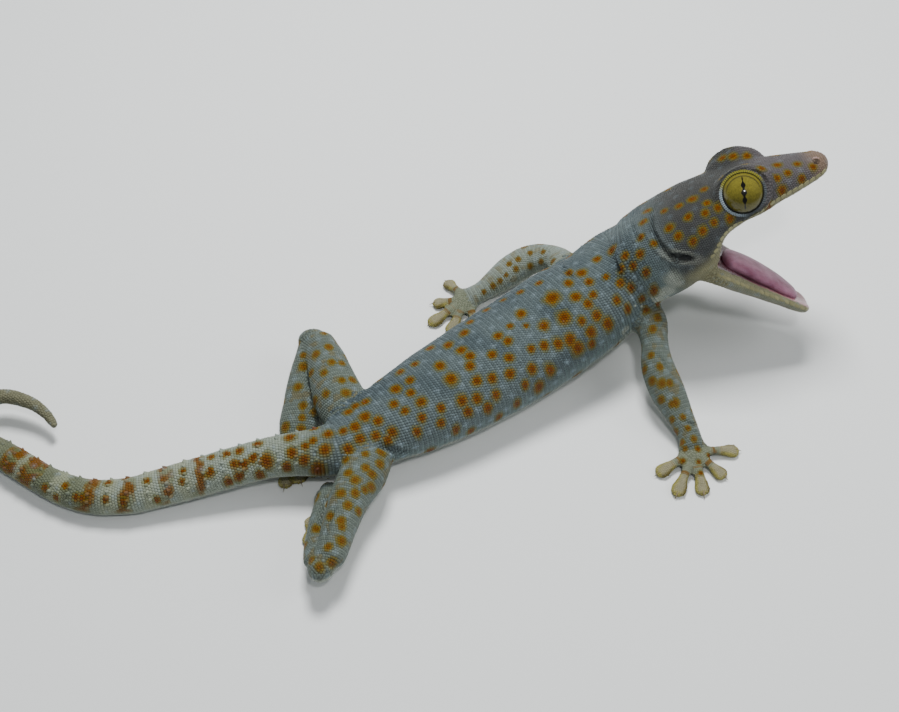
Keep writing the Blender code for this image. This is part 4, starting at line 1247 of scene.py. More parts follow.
class Markings:
    """Spots, pale dots and bars, set once and read by the skin and every scale."""

    def __init__(self, tubes, seats, tree, draw):
        spots = [(hit, radius * draw.uniform(0.85, 1.15))
                 for marks, radius in SPOT_RADIUS for hit, in met_marks(tree, marks)]
        self.seats = tree_of_points(seats.point)
        self.pale_places = [(np.array(hit), reach) for hit, reach in met_marks(tree, PALE_PATCHES)]
        self.bars = sorted((seats.s[self.seats.find(hit)[1]], half)
                           for hit, half in met_marks(tree, TAIL_BARS))
        spots += self.unseen(seats, tree, draw, spots)
        self.spots = tree_of_points([stretched(s[0]) for s in spots])
        self.radii = np.array([s[1] for s in spots])
        self.dots = self.pale(seats, draw)
        self.lengths = np.array([tube.length for tube in tubes])
        self.arm_left = [tube.name for tube in tubes].index("arm_left")

    def unseen(self, seats, tree, draw, known):
        """Spots for the sides that the picture doesn't show."""
        made = []
        found = tree_of_points([stretched(s[0]) for s in known])
        eye = camera_place()
        for i in draw.sample(range(len(seats.point)), len(seats.point)):
            zone = seats.kind[i]
            if zone not in HIDDEN_SPACING or math.sin(seats.angle[i]) < -0.5:
                continue
            point = Vector(seats.point[i])
            spacing = HIDDEN_SPACING[zone]
            if any((point - other).length_squared < spacing * spacing for other, _ in made):
                continue
            if found.find(stretched(point))[2] < spacing * 0.8:
                continue
            out = Vector(seats.normal[i])
            toward = (eye - point).normalized()
            if out.dot(toward) > 0.15 and tree.ray_cast(point + out * 0.4, toward)[0] is None:
                continue
            made.append((point, draw.uniform(1.0, 1.5) * (1.0 if zone == "trunk" else 0.72)))
        return made

    def pale(self, seats, draw):
        """Small pale dots between the spots."""
        chosen = []
        spaced = Spaced(PALE_CELL)
        for i in draw.sample(range(len(seats.point)), len(seats.point)):
            zone = seats.kind[i]
            if zone not in PALE_SPACING or math.sin(seats.angle[i]) < -0.55:
                continue
            point = Vector(seats.point[i])
            _, near, far = self.spots.find(stretched(point))
            if far < self.radii[near] + PALE_CLEAR * 0.5:
                continue
            if spaced.takes(point, PALE_SPACING[zone] * draw.uniform(0.8, 1.3)):
                chosen.append(point)
        return tree_of_points(chosen)

    def paint(self, points, seats, index):
        """Colours of places on the hide, each read with the nearest scale's own data."""
        kind = seats.kind[index]
        s = seats.s[index]
        over = np.sin(seats.angle[index])
        slow = ripple(points, 9.0, 1)
        fine = ripple(points, 2.2, 2)
        trunk = kind == "trunk"
        limb = (kind == "arm") | (kind == "leg")
        toe = kind == "toe"
        head = kind == "head"
        jaw = kind == "jaw"
        # The ground tones: back and flanks, painted shade on the side turned from the light, limbs and tail
        tone = np.tile(BACK, (len(points), 1))
        tone = laid(tone, BACK_DARK, smooth(-0.1, 0.5, slow) * 0.75)
        tone = laid(tone, FLANK, smooth(0.55, -0.1, over) * 0.7)
        # Painted shade: the far flank of the trunk is darkened with the back's dark tone
        left = smooth(0.05, 0.75, np.cos(seats.angle[index])) * smooth(-0.3, 0.3, over)
        tone = laid(tone, BACK_DARK, trunk * left * 0.55)
        tail = ((kind == "tail") | trunk) * smooth(TAIL_ROOT + 5.0, TAIL_ROOT - 14.0, s)
        tone = laid(tone, LIMB, limb * 0.8)
        tone = laid(tone, ARM_LEFT_TONE, (seats.tube[index] == self.arm_left) * 0.85)
        tone = laid(tone, TAIL, tail * 0.85)
        tone = laid(tone, TAIL_NEAR, tail * smooth(TAIL_ROOT - 60.0, TAIL_ROOT - 46.0, s) * 0.85)
        # The head, which fades in behind the ear, its snout, lips and throat
        head = head * smooth(3.0, 15.0, s)
        tone = laid(tone, CROWN, head * 0.9)
        # The cheek's tone is partly its own colour and partly painted shade on the lower side of the head
        tone = laid(tone, CHEEK_WITH_SHADE, head * smooth(0.5, -0.2, over) * 0.8)
        tone = laid(tone, SNOUT, head * smooth(30.0, 38.0, s) * 0.9)
        tone = laid(tone, SNOUT_TIP, head * smooth(45.0, 49.5, s) * 0.7)
        tone = laid(tone, LIP, head * smooth(-0.05, -0.4, over) * 0.75)
        tone = laid(tone, THROAT, jaw * smooth(-0.3, 0.5, over) * 0.9)
        tone = laid(tone, LIP, jaw * smooth(0.25, -0.2, over) * 0.8)
        tone = laid(tone, PALM, toe * 0.85)
        tone = laid(tone, BELLY, (~toe & (kind != "head") & ~jaw) * smooth(-0.1, -0.5, over) * 0.95)
        # The toes: olive pads with a yellow rim, a dark crescent of painted shade on one side of each pad,
        # and bars across
        share = s / self.lengths[seats.tube[index]]
        pad = smooth(0.48, 0.62, share)
        rim = np.maximum(smooth(0.98, 0.6, over + fine * 0.2), smooth(0.86, 0.95, share))
        crescent = smooth(0.35, 0.8, np.cos(seats.angle[index])) * smooth(0.62, 0.72, share)
        tone = laid(tone, TOE, toe * pad * 0.9)
        tone = laid(tone, TOE_EDGE, toe * pad * rim * 0.85)
        tone = laid(tone, TOE_PAD_SHADE, toe * crescent * smooth(0.96, 0.88, share) * 0.6)
        bar = smooth(0.0, 0.5, np.cos(2 * math.pi * s / TOE_BAR_PITCH) + fine * 0.9)
        bar *= smooth(0.34, 0.42, share)
        tone = laid(tone, TOE_BAR, toe * bar * smooth(0.1, 0.5, over) * (1 - pad) * 0.8)
        patch = smooth(0.12, 0.4, ripple(points, 1.9, 6)) * limb * smooth(-0.3, 0.2, over)
        tone = laid(tone, LIMB_SPOT, patch * 0.38)
        # The tail's bars, paler hide half way between them, and its pale tip
        band = np.zeros(len(points))
        bent = s + BAR_BEND * (0.8 - over) + fine * 0.9
        for at, half in self.bars:
            band = np.maximum(band, smooth(half + 0.7, half - 0.7, np.abs(bent - at)))
        for (a, _), (b, _) in zip(self.bars, self.bars[1:]):
            middle = smooth(2.4, 0.8, np.abs(s - (a + b) / 2 + fine))
            tone = laid(tone, TAIL_PALE, tail * middle * smooth(-0.4, 0.0, over) * 0.75)
        broken = smooth(-0.2, 0.2, ripple(points, 2.4, 4) + 0.16)
        tone = laid(tone, SPOT_HALO, tail * smooth(0.0, 0.4, band) * smooth(-0.5, 0.0, over) * 0.45)
        tone = laid(tone, SPOT_EDGE, tail * band * broken * smooth(-0.35, 0.15, over) * 0.85)
        tone = laid(tone, SPOT_CORE, tail * smooth(0.7, 1.0, band) * broken * smooth(-0.2, 0.3, over) * 0.5)
        tone = laid(tone, TAIL_TIP, tail * smooth(44.0, 32.0, s) * 0.9)
        # Painted light and shade of fine wrinkles: rings of scales, lighter and darker by turns
        pitch = np.array([SCALE_PITCH[name] for name in kind]) * ROW_SHARE
        ring = np.floor(s / pitch + 0.3) % 2
        tone = tone * (1.0 + (trunk | limb) * (WRINKLE_RING_LIT - WRINKLE_RING_SHADE * ring))[:, None]
        # Pale dots, and spots with a yellow edge in an olive halo
        dot = np.zeros(len(points))
        near = np.zeros(len(points))
        for i, point in enumerate(points):
            dot[i] = self.dots.find(point)[2]
            _, which, far = self.spots.find(stretched(point))
            near[i] = far / self.radii[which]
        near = near * (1.0 + 0.22 * fine)
        tone = laid(tone, PALE_SPOT, smooth(PALE_RADIUS + 0.25, PALE_RADIUS - 0.2, dot)
                    * (0.3 + 0.3 * (trunk & (over < 0.45)) - 0.18 * head) * ~toe)
        tone = laid(tone, SPOT_HALO, smooth(1.65, 1.05, near) * 0.6)
        tone = laid(tone, LIMB_SPOT, limb * smooth(1.4, 0.95, near) * 0.6)
        tone = laid(tone, SPOT_EDGE, smooth(1.1, 0.7, near) * (0.92 - 0.3 * limb))
        tone = laid(tone, SPOT_CORE, smooth(0.75, 0.3, near) * (0.85 - 0.3 * limb))
        # Pale hide of the throat and armpit, and the light lip of each ear
        for place, reach in self.pale_places:
            far = np.linalg.norm(points - place, axis=1) / reach
            tone = laid(tone, BELLY, smooth(1.2, 0.5, far * (1.0 + 0.3 * fine)) * 0.7)
        far = np.minimum(*(ear_reach(points, side) for side in (-1, 1)))
        tone = laid(tone, EAR_LIP, smooth(0.75, 1.1, far) * smooth(2.1, 1.4, far) * 0.3)
        return tone


def ear_reach(points, side):
    """Distance from one ear's middle, 1 at the edge of its cup."""
    head = head_matrix()
    local = (points - np.array(head @ mirrored(EAR, side))) @ np.array(head.to_3x3())
    leaned = local @ np.array(Matrix.Rotation(EAR_LEAN, 3, "Y"))
    return np.linalg.norm(leaned / np.array(EAR_RADII), axis=-1)


def tree_of_points(points):
    """Places ready to be searched for the nearest."""
    tree = KDTree(len(points))
    for i, point in enumerate(points):
        tree.insert(point, i)
    tree.balance()
    return tree


def paint_skin(mesh, crease, seats, markings, lining):
    """Colour the hide as its scales are coloured, darker between them and moist in the mouth."""
    co = coords_of(mesh)
    index = np.zeros(len(co), int)
    scaled = np.zeros(len(co))
    for i, point in enumerate(co):
        _, index[i], scaled[i] = markings.seats.find(point)
    inner = np.array([lining.find(point)[2] for point in co])
    tone = markings.paint(co, seats, index) * BETWEEN_SCALES
    # Painted shade in the folds, ear cups and nostrils
    tone *= (1.0 - CREASE_SHADE * crease)[:, None]
    moist = smooth(-0.2, 0.35, scaled - inner) * (inner < LINING_REACH)
    head = head_matrix()
    along = ((co - np.array(head.translation)) @ np.array(head.to_3x3()))[:, 0]
    # Painted shade: the moist lining darkens deeper in the mouth
    mouth = laid(np.tile(LINING, (len(co), 1)), GULLET_SHADE, smooth(*GULLET_FADE, along))
    tone = tone + (mouth - tone) * moist[:, None]
    tone_layer(mesh, np.hstack([tone, moist[:, None]]))


def add(tree, kind, settings=(), links=()):
    """Add a node, set its values and inputs, and link its sockets."""
    node = tree.nodes.new(kind)
    for name, value in dict(settings).items():
        if name.startswith("in:"):
            node.inputs[name[3:]].default_value = value
        else:
            setattr(node, name, value)
    for key, source in dict(links).items():
        tree.links.new(source, node.inputs[key])
    return node


def finish(name, settings):
    """A surface with its shader's own values, ready for its pattern."""
    look = bpy.data.materials.new(name)
    look.use_nodes = True
    tree = look.node_tree
    surface = tree.nodes["Principled BSDF"]
    for key, value in settings.items():
        surface.inputs[key].default_value = value
    return look, tree, surface


def grained(name, grain, shades, relief, settings):
    """A painted surface broken by a fine grain, which shades it and roughens it."""
    look, tree, surface = finish(name, settings)
    tone = add(tree, "ShaderNodeAttribute", {"attribute_name": "tone"})
    place = add(tree, "ShaderNodeTexCoord")
    grit = add(tree, "ShaderNodeTexNoise", {"in:Scale": grain[0], "in:Detail": grain[1]},
               {"Vector": place.outputs["Object"]})
    shade = add(tree, "ShaderNodeMapRange", {"in:To Min": shades[0], "in:To Max": shades[1]},
                {"Value": grit.outputs["Fac"]})
    tinted = add(tree, "ShaderNodeVectorMath", {"operation": "SCALE"},
                 {0: tone.outputs["Color"], "Scale": shade.outputs["Result"]})
    bump = add(tree, "ShaderNodeBump", {"in:Strength": relief[0], "in:Distance": relief[1]},
               {"Height": grit.outputs["Fac"]})
    tree.links.new(tinted.outputs["Vector"], surface.inputs["Base Color"])
    tree.links.new(bump.outputs["Normal"], surface.inputs["Normal"])
    return look, tree, surface, tone


def scale_look():
    """Keratin scales cast in tinted resin: satin, with a fine grain left by the mould."""
    # Real grain is about 0.03 mm; 0.15 mm shows at this distance
    return grained("gecko_scales_satin", (6500.0, 2.0), (0.82, 1.16), (0.25, 0.00006),
                   {"Roughness": 0.46, "IOR": 1.55, "Specular IOR Level": 0.22})[0]


def skin_look():
    """Soft hide between the scales, matt outside and moist in the mouth."""
    # Pores and tiny folds of about 0.2 mm; the light soaks in a little, redder than it fell
    look, tree, surface, tone = grained(
        "gecko_hide_matt", (4200.0, 4.0), (0.78, 1.2), (0.35, 0.0001),
        {"IOR": 1.45, "Specular IOR Level": 0.35, "Subsurface Weight": 0.06,
         "Subsurface Radius": (0.0012, 0.0006, 0.0004)})
    gloss = add(tree, "ShaderNodeMapRange", {"in:To Min": 0.62, "in:To Max": 0.24},
                {"Value": tone.outputs["Alpha"]})
    tree.links.new(gloss.outputs["Result"], surface.inputs["Roughness"])
    return look


def tongue_look():
    """Moist tongue of cast silicone: papillae in a soft pink, evenly damp."""
    look, tree, surface = finish("gecko_tongue_wet", {
        "Roughness": 0.42, "IOR": 1.4, "Specular IOR Level": 0.25, "Subsurface Weight": 0.15,
        "Subsurface Radius": (0.002, 0.0008, 0.0006)})
    place = add(tree, "ShaderNodeTexCoord")
    # Papillae about 0.35 mm across
    papillae = add(tree, "ShaderNodeTexVoronoi", {"in:Scale": 2600.0}, {"Vector": place.outputs["Object"]})
    cloud = add(tree, "ShaderNodeTexNoise", {"in:Scale": 260.0, "in:Detail": 3.0},
                {"Vector": place.outputs["Object"]})
    tint = add(tree, "ShaderNodeValToRGB", (), {"Fac": cloud.outputs["Fac"]})
    for element, position, colour in zip(tint.color_ramp.elements, (0.35, 0.68), TONGUE_TONES):
        element.position = position
        element.color = (*colour, 1)
    bump = add(tree, "ShaderNodeBump", {"in:Strength": 0.5, "in:Distance": 0.00018, "invert": True},
               {"Height": papillae.outputs["Distance"]})
    tree.links.new(tint.outputs["Color"], surface.inputs["Base Color"])
    tree.links.new(bump.outputs["Normal"], surface.inputs["Normal"])
    return look


def claw_look():
    """Horn of the claws: dense and faintly streaked, polished by wear."""
    look, tree, surface = finish("gecko_horn_polished", {"Roughness": 0.3, "IOR": 1.54})
    place = add(tree, "ShaderNodeTexCoord")
    # Streaks about 0.4 mm apart
    streak = add(tree, "ShaderNodeTexNoise", {"in:Scale": 2500.0, "in:Detail": 3.0},
                 {"Vector": place.outputs["Object"]})
    tint = add(tree, "ShaderNodeValToRGB", (), {"Fac": streak.outputs["Fac"]})
    for element, colour in zip(tint.color_ramp.elements, HORN_TONES):
        element.color = (*colour, 1)
    tree.links.new(tint.outputs["Color"], surface.inputs["Base Color"])
    return look


def eye_look():
    """Glass eye with a painted iris: olive gold, finely veined, a dark upright pupil."""
    look, tree, surface = finish("gecko_eye_glass", {
        "Roughness": 0.3, "IOR": 1.38, "Specular IOR Level": 0.15, "Coat Weight": 0.6,
        "Coat Roughness": 0.03, "Coat IOR": 1.5})
    place = add(tree, "ShaderNodeTexCoord")
    # Veins of the iris, about 0.4 mm apart
    veins = add(tree, "ShaderNodeTexNoise", {"in:Scale": 2600.0, "in:Detail": 6.0, "in:Roughness": 0.7,
                                             "in:Distortion": 1.2}, {"Vector": place.outputs["Object"]})
    shade = add(tree, "ShaderNodeMapRange", {"in:From Min": 0.3, "in:From Max": 0.7, "in:To Min": 0.55,
                                             "in:To Max": 1.45}, {"Value": veins.outputs["Fac"]})
    tone = add(tree, "ShaderNodeAttribute", {"attribute_name": "tone"})
    iris = add(tree, "ShaderNodeVectorMath", {"operation": "SCALE"},
               {0: tone.outputs["Color"], "Scale": shade.outputs["Result"]})
    # Distance inside the pupil's edge, in millimetres
    inside = add(tree, "ShaderNodeAttribute", {"attribute_name": "pupil"})
    pupil = add(tree, "ShaderNodeMapRange", {"in:From Min": -0.06, "in:From Max": 0.06},
                {"Value": inside.outputs["Fac"]})
    dark = add(tree, "ShaderNodeMix", {"data_type": "RGBA"},
               {"Factor": pupil.outputs["Result"], "A": iris.outputs["Vector"]})
    dark.inputs["B"].default_value = (*PUPIL_TONE, 1)
    tree.links.new(dark.outputs["Result"], surface.inputs["Base Color"])
    return look


def floor_look():
    """Matt laminate floor of the studio, one pale tone."""
    return finish("studio_floor_matt", {"Base Color": (*FLOOR_TONE, 1), "Roughness": 0.85})[0]


def eye_axes(side):
    """Centre of one eye, its outward axis, and forward and up over its face."""
    place = head_matrix()
    centre = place @ mirrored(EYE_CENTRE, side)
    axis = (place.to_3x3() @ mirrored(EYE_AXIS, side)).normalized()
    forward = place.to_3x3() @ Vector((1, 0, 0))
    forward = (forward - axis * forward.dot(axis)).normalized()
    up = place.to_3x3() @ Vector((0, 0, 1))
    up = (up - axis * up.dot(axis) - forward * up.dot(forward)).normalized()
    return centre, axis, forward, up


def clamped(value):
    """A value held between 0 and 1."""
    return max(0.0, min(1.0, value))


def iris_tone(x, y):
    """Colour of the painted iris at a place on its face."""
    radius = math.hypot(x, y)
    over = y / max(radius, 0.1)
    tone = IRIS_DEEP + (IRIS_GOLD - IRIS_DEEP) * (0.45 + 0.35 * math.sin(0.5 * y + 0.6))
    line = math.exp(-((radius - CRESCENT_RADIUS) / 0.16) ** 2) * clamped(over * 2.2)
    crescent = clamped((radius - CRESCENT_RADIUS) / 0.2) * clamped(over * 2.0)
    tone = tone + (IRIS_GOLD * 1.15 - tone) * crescent * 0.7
    tone = tone + (IRIS_DARK - tone) * line * 0.85
    edge = clamped((radius - IRIS_RADIUS + 0.35) / 0.35)
    return tone + (IRIS_DARK - tone) * edge * (1.0 - 0.75 * crescent)


def eyeballs():
    """Both eyes as one piece, the iris in its colours and the pupil as a distance from its edge."""
    bm = bmesh.new()
    sides = [eye_axes(side) for side in (-1, 1)]
    for centre, axis, _, _ in sides:
        turn = axis.to_track_quat("Z", "Y").to_matrix().to_4x4()
        bmesh.ops.create_uvsphere(bm, u_segments=EYE_ROWS, v_segments=EYE_ROWS,
                                  radius=EYE_RADIUS - EYE_SHRINK,
                                  matrix=Matrix.Translation(centre) @ turn)
    mesh = made_mesh(bm, "eyes")
    inside = []
    tones = []
    for vert in mesh.vertices:
        centre, axis, forward, up = min(sides, key=lambda eye: (vert.co - eye[0]).length)
        offset = vert.co - centre
        x = offset.dot(forward)
        y = offset.dot(up)
        off = x * math.cos(PUPIL_LEAN) - y * math.sin(PUPIL_LEAN)
        rise = y * math.cos(PUPIL_LEAN) + x * math.sin(PUPIL_LEAN)
        share = min(abs(rise) / PUPIL_HALF_HEIGHT, 1.0)
        wide = PUPIL_HALF_WIDTH * (1 - share ** 2) * (0.75 + 0.35 * math.cos(rise * PUPIL_LOBES))
        facing = offset.dot(axis) > 0
        inside.append(wide - abs(off) if facing else -1.0)
        tones.append((*iris_tone(off, rise), 1.0) if facing else (*IRIS_DARK, 1.0))
    mesh.attributes.new("pupil", "FLOAT", "POINT").data.foreach_set("value", inside)
    tone_layer(mesh, tones)
    return mesh


def granule_colours(points, base, spread, draw):
    """One colour for each granule, a little lighter or darker than the base."""
    return base[None, :] * draw.uniform(1 - spread, 1 + spread, len(points))[:, None]


def arrays_of(rows, count):
    """The first few values of every row as arrays."""
    return (np.array([tuple(row[i]) for row in rows]) for i in range(count))


def eye_rims(draw):
    """The raised ring round each eye, beaded with small scales in three rows."""
    rows = []
    for side in (-1, 1):
        centre, axis, along, up = eye_axes(side)
        for row, (radius, out) in enumerate(RIM_ROWS):
            count = round(2 * math.pi * radius / RIM_BEAD_PITCH)
            for k in range(count):
                a = 2 * math.pi * (k + 0.5 * (row % 2)) / count
                spoke = along * math.cos(a) + up * math.sin(a)
                tangent = up * math.cos(a) - along * math.sin(a)
                lean = spoke * RIM_TILTS[row] + axis
                turned = a + PUPIL_LEAN
                rows.append((centre + spoke * radius + axis * out, tangent, lean,
                             (math.cos(turned), math.sin(turned), row)))
    place, along, out, marks = arrays_of(rows, 4)
    fore, rise, row = marks.T
    sizes = np.tile(RIM_BEAD_SIZE, (len(rows), 1))
    tones = granule_colours(rows, RIM_TONE, 0.14, draw)
    tones = laid(tones, RIM_PALE, smooth(0.1, 0.7, -fore - 0.35 * rise))
    tones = laid(tones, RIM_YELLOW, smooth(0.2, 0.6, rise - 0.1 * fore) * 0.95)
    inner = granule_colours(rows, RIM_INNER, 0.2, draw)
    tones = np.where((row == 0)[:, None], inner, tones)
    return joined("eye_rims", peaked_form(6, GRANULE_LEVELS), place, along, out, sizes, tones,
                  RIM_BEAD_SINK)


def rim_bands():
    """The soft ring that the beads sit on."""
    bm = bmesh.new()
    for side in (-1, 1):
        centre, axis, along, up = eye_axes(side)
        known = set(bm.verts)
        upright = Matrix.Translation((RIM_RADIUS, 0, 0)) @ Matrix.Rotation(math.pi / 2, 4, "X")
        made = bmesh.ops.create_circle(bm, segments=12, radius=RIM_THICKNESS, matrix=upright)
        edges = {edge for vert in made["verts"] for edge in vert.link_edges}
        bmesh.ops.spin(bm, geom=[*made["verts"], *edges], cent=(0, 0, 0), axis=(0, 0, 1),
                       dvec=(0, 0, 0), angle=2 * math.pi, steps=72, use_merge=True)
        turn = Matrix((along, up, axis)).transposed().to_4x4()
        bmesh.ops.transform(bm, matrix=Matrix.Translation(centre + axis * RIM_OUT) @ turn,
                            verts=[vert for vert in bm.verts if vert not in known])
    bmesh.ops.remove_doubles(bm, verts=bm.verts, dist=0.001)
    return made_mesh(bm, "rim_bands")


def tongue_mesh():
    """The tongue as a closed loft that lies in the lower jaw."""
    tube = Tube("tongue", "tongue", along_head(TONGUE_STATIONS), TONGUE_ROUNDS, TONGUE_SQUARENESS,
                jaw_matrix(), True)
    bm = bmesh.new()
    tube.mesh_into(bm, *MESH_STEPS["tongue"])
    return made_mesh(bm, "tongue_flesh")


def claws():
    """A small curved claw beyond each pad."""
    bm = bmesh.new()
    feet = ((ARM_RIGHT[-1], HAND_RIGHT_TIPS), (ARM_LEFT[-1], HAND_LEFT_TIPS),
            (PALM_RIGHT, FOOT_RIGHT_TIPS), (PALM_LEFT, FOOT_LEFT_TIPS))
    for palm, tips in feet:
        for tip in tips:
            forward = (Vector((*tip, 0.0)) - Vector((*palm[:2], 0.0))).normalized()
            side = Vector((-forward.y, forward.x, 0.0))
            root = Vector((*tip, CLAW_HEIGHT)) - forward * CLAW_ROOT
            made = bmesh.ops.create_cone(bm, cap_ends=True, segments=10, radius1=CLAW_RADII[0],
                                         radius2=CLAW_RADII[1], depth=1.0)
            for vert in made["verts"]:
                t = vert.co.z + 0.5
                reach = (CLAW_LENGTH + CLAW_ROOT) * t
                drop = CLAW_DROP * t * t
                vert.co = root + forward * reach + side * vert.co.x + Vector((0, 0, vert.co.y - drop))
    return made_mesh(bm, "claws")


def met(ring, at, tree, facing):
    """Where the skin is met from outside a ring at an angle, unless it faces away there."""
    k = int(at / (2 * math.pi) * RING_DENSE) % RING_DENSE
    normal = Vector(ring[k] - ring.mean(axis=0)).normalized()
    hit, out, _, _ = tree.ray_cast(Vector(ring[k]) + normal * MET_FAR, -normal, 2 * MET_FAR)
    return (hit, out) if hit is not None and out.dot(normal) > facing else None


def tubercles(spine, tree, seats, markings, draw):
    """Raised cones in staggered rows over the back and in whorls round the tail."""
    rows = []
    s = TUBERCLE_ENDS[0]
    count = 0
    while s < spine.length - TUBERCLE_ENDS[1]:
        zone = zone_of(spine, s)
        pitch, angles = TUBERCLE_ROWS[zone]
        ring = spine.ring(s, RING_DENSE)
        shift = (count % 2) * (angles[1] - angles[0]) / 2
        grow = min(1.0, s / TUBERCLE_GROWN) if zone == "tail" else 1.0
        for angle in angles:
            for side in (-1, 1):
                at = math.radians(90 + side * (angle + shift) + draw.uniform(-3, 3))
                found = met(ring, at, tree, 0.4)
                if found is None:
                    continue
                wide, tall = (v * grow * draw.uniform(0.85, 1.15) for v in TUBERCLE_SIZE[zone])
                forward = Vector(spine.forward(s))
                lean = found[1] - forward * TUBERCLE_LEAN[zone]
                rows.append((found[0], forward, lean, (wide, wide, tall + TUBERCLE_SUNK)))
        s += pitch * draw.uniform(0.92, 1.08)
        count += 1
    place, along, out, sizes = arrays_of(rows, 4)
    index = np.array([markings.seats.find(p)[1] for p in place])
    tones = markings.paint(place, seats, index)
    tones = tones + (PALE_SPOT - tones) * 0.08
    return joined("tubercles", peaked_form(8, TUBERCLE_LEVELS), place, along, out, sizes, tones,
                  TUBERCLE_SUNK)


def plate_form():
    """A rounded oblong plate, domed a little."""
    bm = bmesh.new()
    bmesh.ops.create_cube(bm, size=2.0)
    upright = [e for e in bm.edges if abs(e.verts[0].co.z - e.verts[1].co.z) > 1.0]
    bmesh.ops.bevel(bm, geom=upright, offset=0.55, segments=2, profile=0.5, affect="EDGES", material=-1)
    top = [e for e in bm.edges if all(v.co.z > 0.9 for v in e.verts)]
    bmesh.ops.bevel(bm, geom=top, offset=0.3, segments=2, profile=0.5, affect="EDGES", material=-1)
    return form_of(bm)


def lip_plates(tubes, tree, draw):
    """The row of plates along each lip."""
    rows = []
    for name, first, angle in LIP_ROWS:
        tube = next(tube for tube in tubes if tube.name == name)
        for at in (math.radians(angle) % (2 * math.pi), math.radians(180 - angle)):
            s = first
            while s < tube.length - LIP_END:
                long = PLATE_LENGTH + PLATE_GROWTH * (s - first) / tube.length
                found = met(tube.in_body(tube.ring(s, RING_DENSE)), at, tree, 0.3)
                if found:
                    rows.append((found[0], Vector(tube.forward(s)), found[1],
                                 (long * 0.5, PLATE_HALF_WIDTH, PLATE_HEIGHT)))
                s += long * 1.04
    place, along, out, sizes = arrays_of(rows, 4)
    tones = granule_colours(place, LIP, 0.14, draw)
    return joined("lip_plates", plate_form(), place, along, out, sizes, tones, PLATE_SUNK)


def nostril_rims(tree):
    """A low pinkish ring of beads round each nostril."""
    bm = bmesh.new()
    for side in (-1, 1):
        centre, axis = nostril_place(tree, side)
        turn = axis.to_track_quat("Z", "Y").to_matrix()
        for i in range(NOSTRIL_BEADS):
            a = 2 * math.pi * i / NOSTRIL_BEADS
            spoke = turn @ Vector((math.cos(a), math.sin(a), 0))
            ball = bmesh.ops.create_icosphere(bm, subdivisions=1, radius=NOSTRIL_BEAD_RADIUS)
            bmesh.ops.translate(bm, vec=centre + spoke * NOSTRIL_REACH - axis * NOSTRIL_BEAD_SINK,
                                verts=ball["verts"])
    return made_mesh(bm, "nostril_rims")


def plain_tone(mesh, colour):
    """One colour on every point of a piece that shares the scales' surface."""
    tone_layer(mesh, np.tile((*colour, 0.0), (len(mesh.vertices), 1)))
    return mesh


def linked(name, data):
    """A new object in the scene."""
    obj = bpy.data.objects.new(name, data)
    bpy.context.scene.collection.objects.link(obj)
    return obj


def place_piece(mesh, name, look, shift, replaced=()):
    """Set a finished piece in the model's frame, in metres, and let it ride."""
    co = (coords_of(mesh) + np.array(shift)) * MM
    co[:, 2] = np.maximum(co[:, 2], 0.0)
    set_coords(mesh, co)
    mesh.name = name
    mesh.materials.clear()
    mesh.materials.append(look)
    mesh.shade_smooth()
    obj = linked(name, mesh)
    if replaced:
        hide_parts(*replaced)
    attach(obj, "root")


def body_shift():
    """From the body's own frame to the model's, in millimetres, by the right eye's place."""
    low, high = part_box("eye_right")
    middle = (low + high) / 2 / MM
    return middle - head_matrix() @ mirrored(EYE_CENTRE, -1)


def studio(shift):
    """Floor, soft light and the photographed view."""
    bm = bmesh.new()
    bmesh.ops.create_grid(bm, x_segments=1, y_segments=1, size=FLOOR_HALF_SIZE)
    mesh = bpy.data.meshes.new("floor")
    bm.to_mesh(mesh)
    bm.free()
    mesh.materials.append(floor_look())
    floor = linked("floor", mesh)
    middle = (CAMERA_AIM + shift) * MM
    right, up, back = camera_axes()
    away = -Vector((back.x, back.y, 0)).normalized()
    overhead = away * math.sin(KEY_TILT) + Vector((0, 0, math.cos(KEY_TILT)))
    soft_light("key", middle, overhead, *KEY_LIGHT)
    soft_light("glint", middle, (back * 0.95 + right * 0.1 + up * 0.2).normalized(), *GLINT_LIGHT)
    soft_light("side", middle, (right * 0.8 + Vector((0, 0, 0.6))).normalized(), *SIDE_LIGHT)
    world = bpy.data.worlds.new("studio")
    world.use_nodes = True
    fill = world.node_tree.nodes["Background"]
    fill.inputs["Color"].default_value = (*FILL_TONE, 1)
    fill.inputs["Strength"].default_value = FILL_STRENGTH
    bpy.context.scene.world = world
    data = bpy.data.cameras.new("view")
    data.lens = LENS
    data.sensor_width = SENSOR
    data.clip_start = 0.01
    camera = linked("view", data)
    turn = Matrix((right, up, back)).transposed().to_4x4()
    camera.matrix_world = Matrix.Translation((camera_place() + shift) * MM) @ turn
    bpy.context.scene.camera = camera


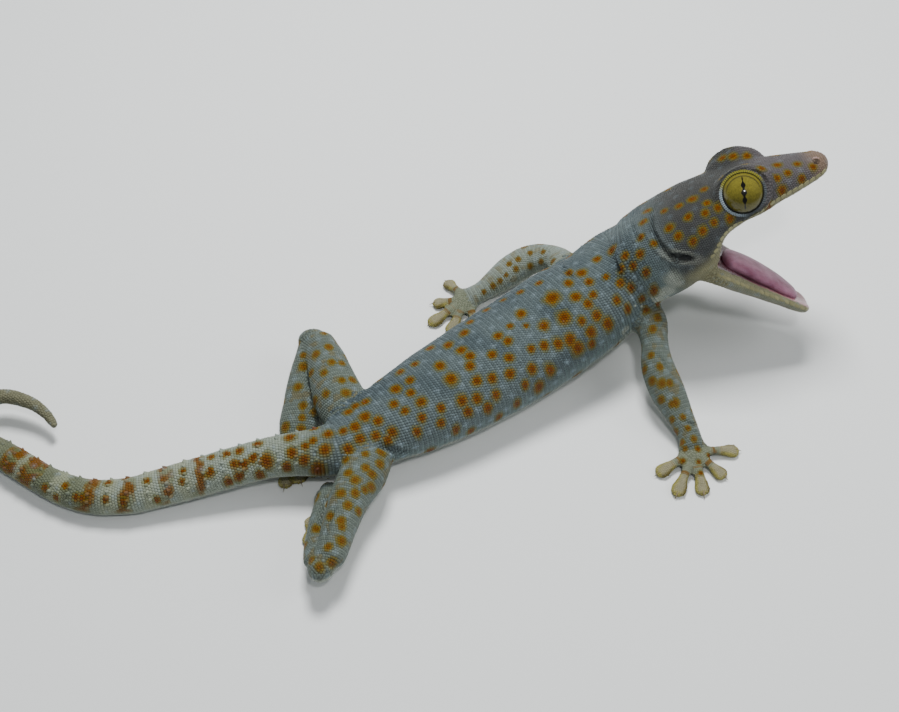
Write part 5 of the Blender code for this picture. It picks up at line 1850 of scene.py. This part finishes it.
def soft_light(name, middle, direction, far, size, power, glossy):
    """A square soft light that looks at the middle of the model."""
    data = bpy.data.lights.new(name, "AREA")
    data.shape = "SQUARE"
    data.size = size
    data.energy = power
    light = linked(name, data)
    light.location = middle + direction * far
    light.visible_glossy = glossy
    light.rotation_mode = "QUATERNION"
    light.rotation_quaternion = direction.to_track_quat("Z", "Y")


tubes = body_tubes()
spine = tubes[0]
TAIL_ROOT = spine.line.distance(len(TAIL_STATIONS))
draw_plain = random.Random(7)
draw = np.random.default_rng(7)
skin_mesh, crease = make_skin(tubes)
skin_tree = tree_of(skin_mesh)
seats, lining = seat_scales(tubes, skin_mesh, skin_tree)
markings = Markings(tubes, seats, skin_tree, draw_plain)
paint_skin(skin_mesh, crease, seats, markings, lining)

shift = body_shift()
eyes_and_tongue = {"eye_left", "eye_right", "tongue"}
flesh_nodes = sorted(set(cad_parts) - eyes_and_tongue)
hide = skin_look()
scales = scale_look()
place_piece(skin_mesh, "skin", hide, shift, flesh_nodes)

tones = markings.paint(seats.point, seats, np.arange(len(seats.point)))
tones *= draw.uniform(1 - TONE_SPREAD, 1 + TONE_SPREAD, len(tones))[:, None]
zones = {"back": ("trunk",), "tail": ("tail",), "head": ("head", "jaw"), "legs": ("arm", "leg", "toe")}
for label, kinds in zones.items():
    chosen = np.flatnonzero(np.isin(seats.kind, kinds))
    for part, start in enumerate(range(0, len(chosen), SCALES_A_PIECE)):
        rows = chosen[start:start + SCALES_A_PIECE]
        name = f"scales_{label}_{part + 1}"
        place_piece(scale_mesh(name, seats.only(rows), tones[rows], draw), name, scales, shift)

place_piece(eyeballs(), "eyes", eye_look(), shift, ("eye_left", "eye_right"))
place_piece(plain_tone(rim_bands(), RIM_TONE), "rim_bands", hide, shift)
place_piece(eye_rims(draw), "eye_rims", scales, shift)
place_piece(tongue_mesh(), "tongue_flesh", tongue_look(), shift, ("tongue",))
place_piece(claws(), "claws", claw_look(), shift)
place_piece(tubercles(spine, skin_tree, seats, markings, draw_plain), "tubercles", scales, shift)
place_piece(lip_plates(tubes, skin_tree, draw), "lip_plates", scales, shift)
nostrils = plain_tone(nostril_rims(skin_tree), NOSTRIL_TONE)
place_piece(nostrils, "nostril_rims", scales, shift)

studio(shift)
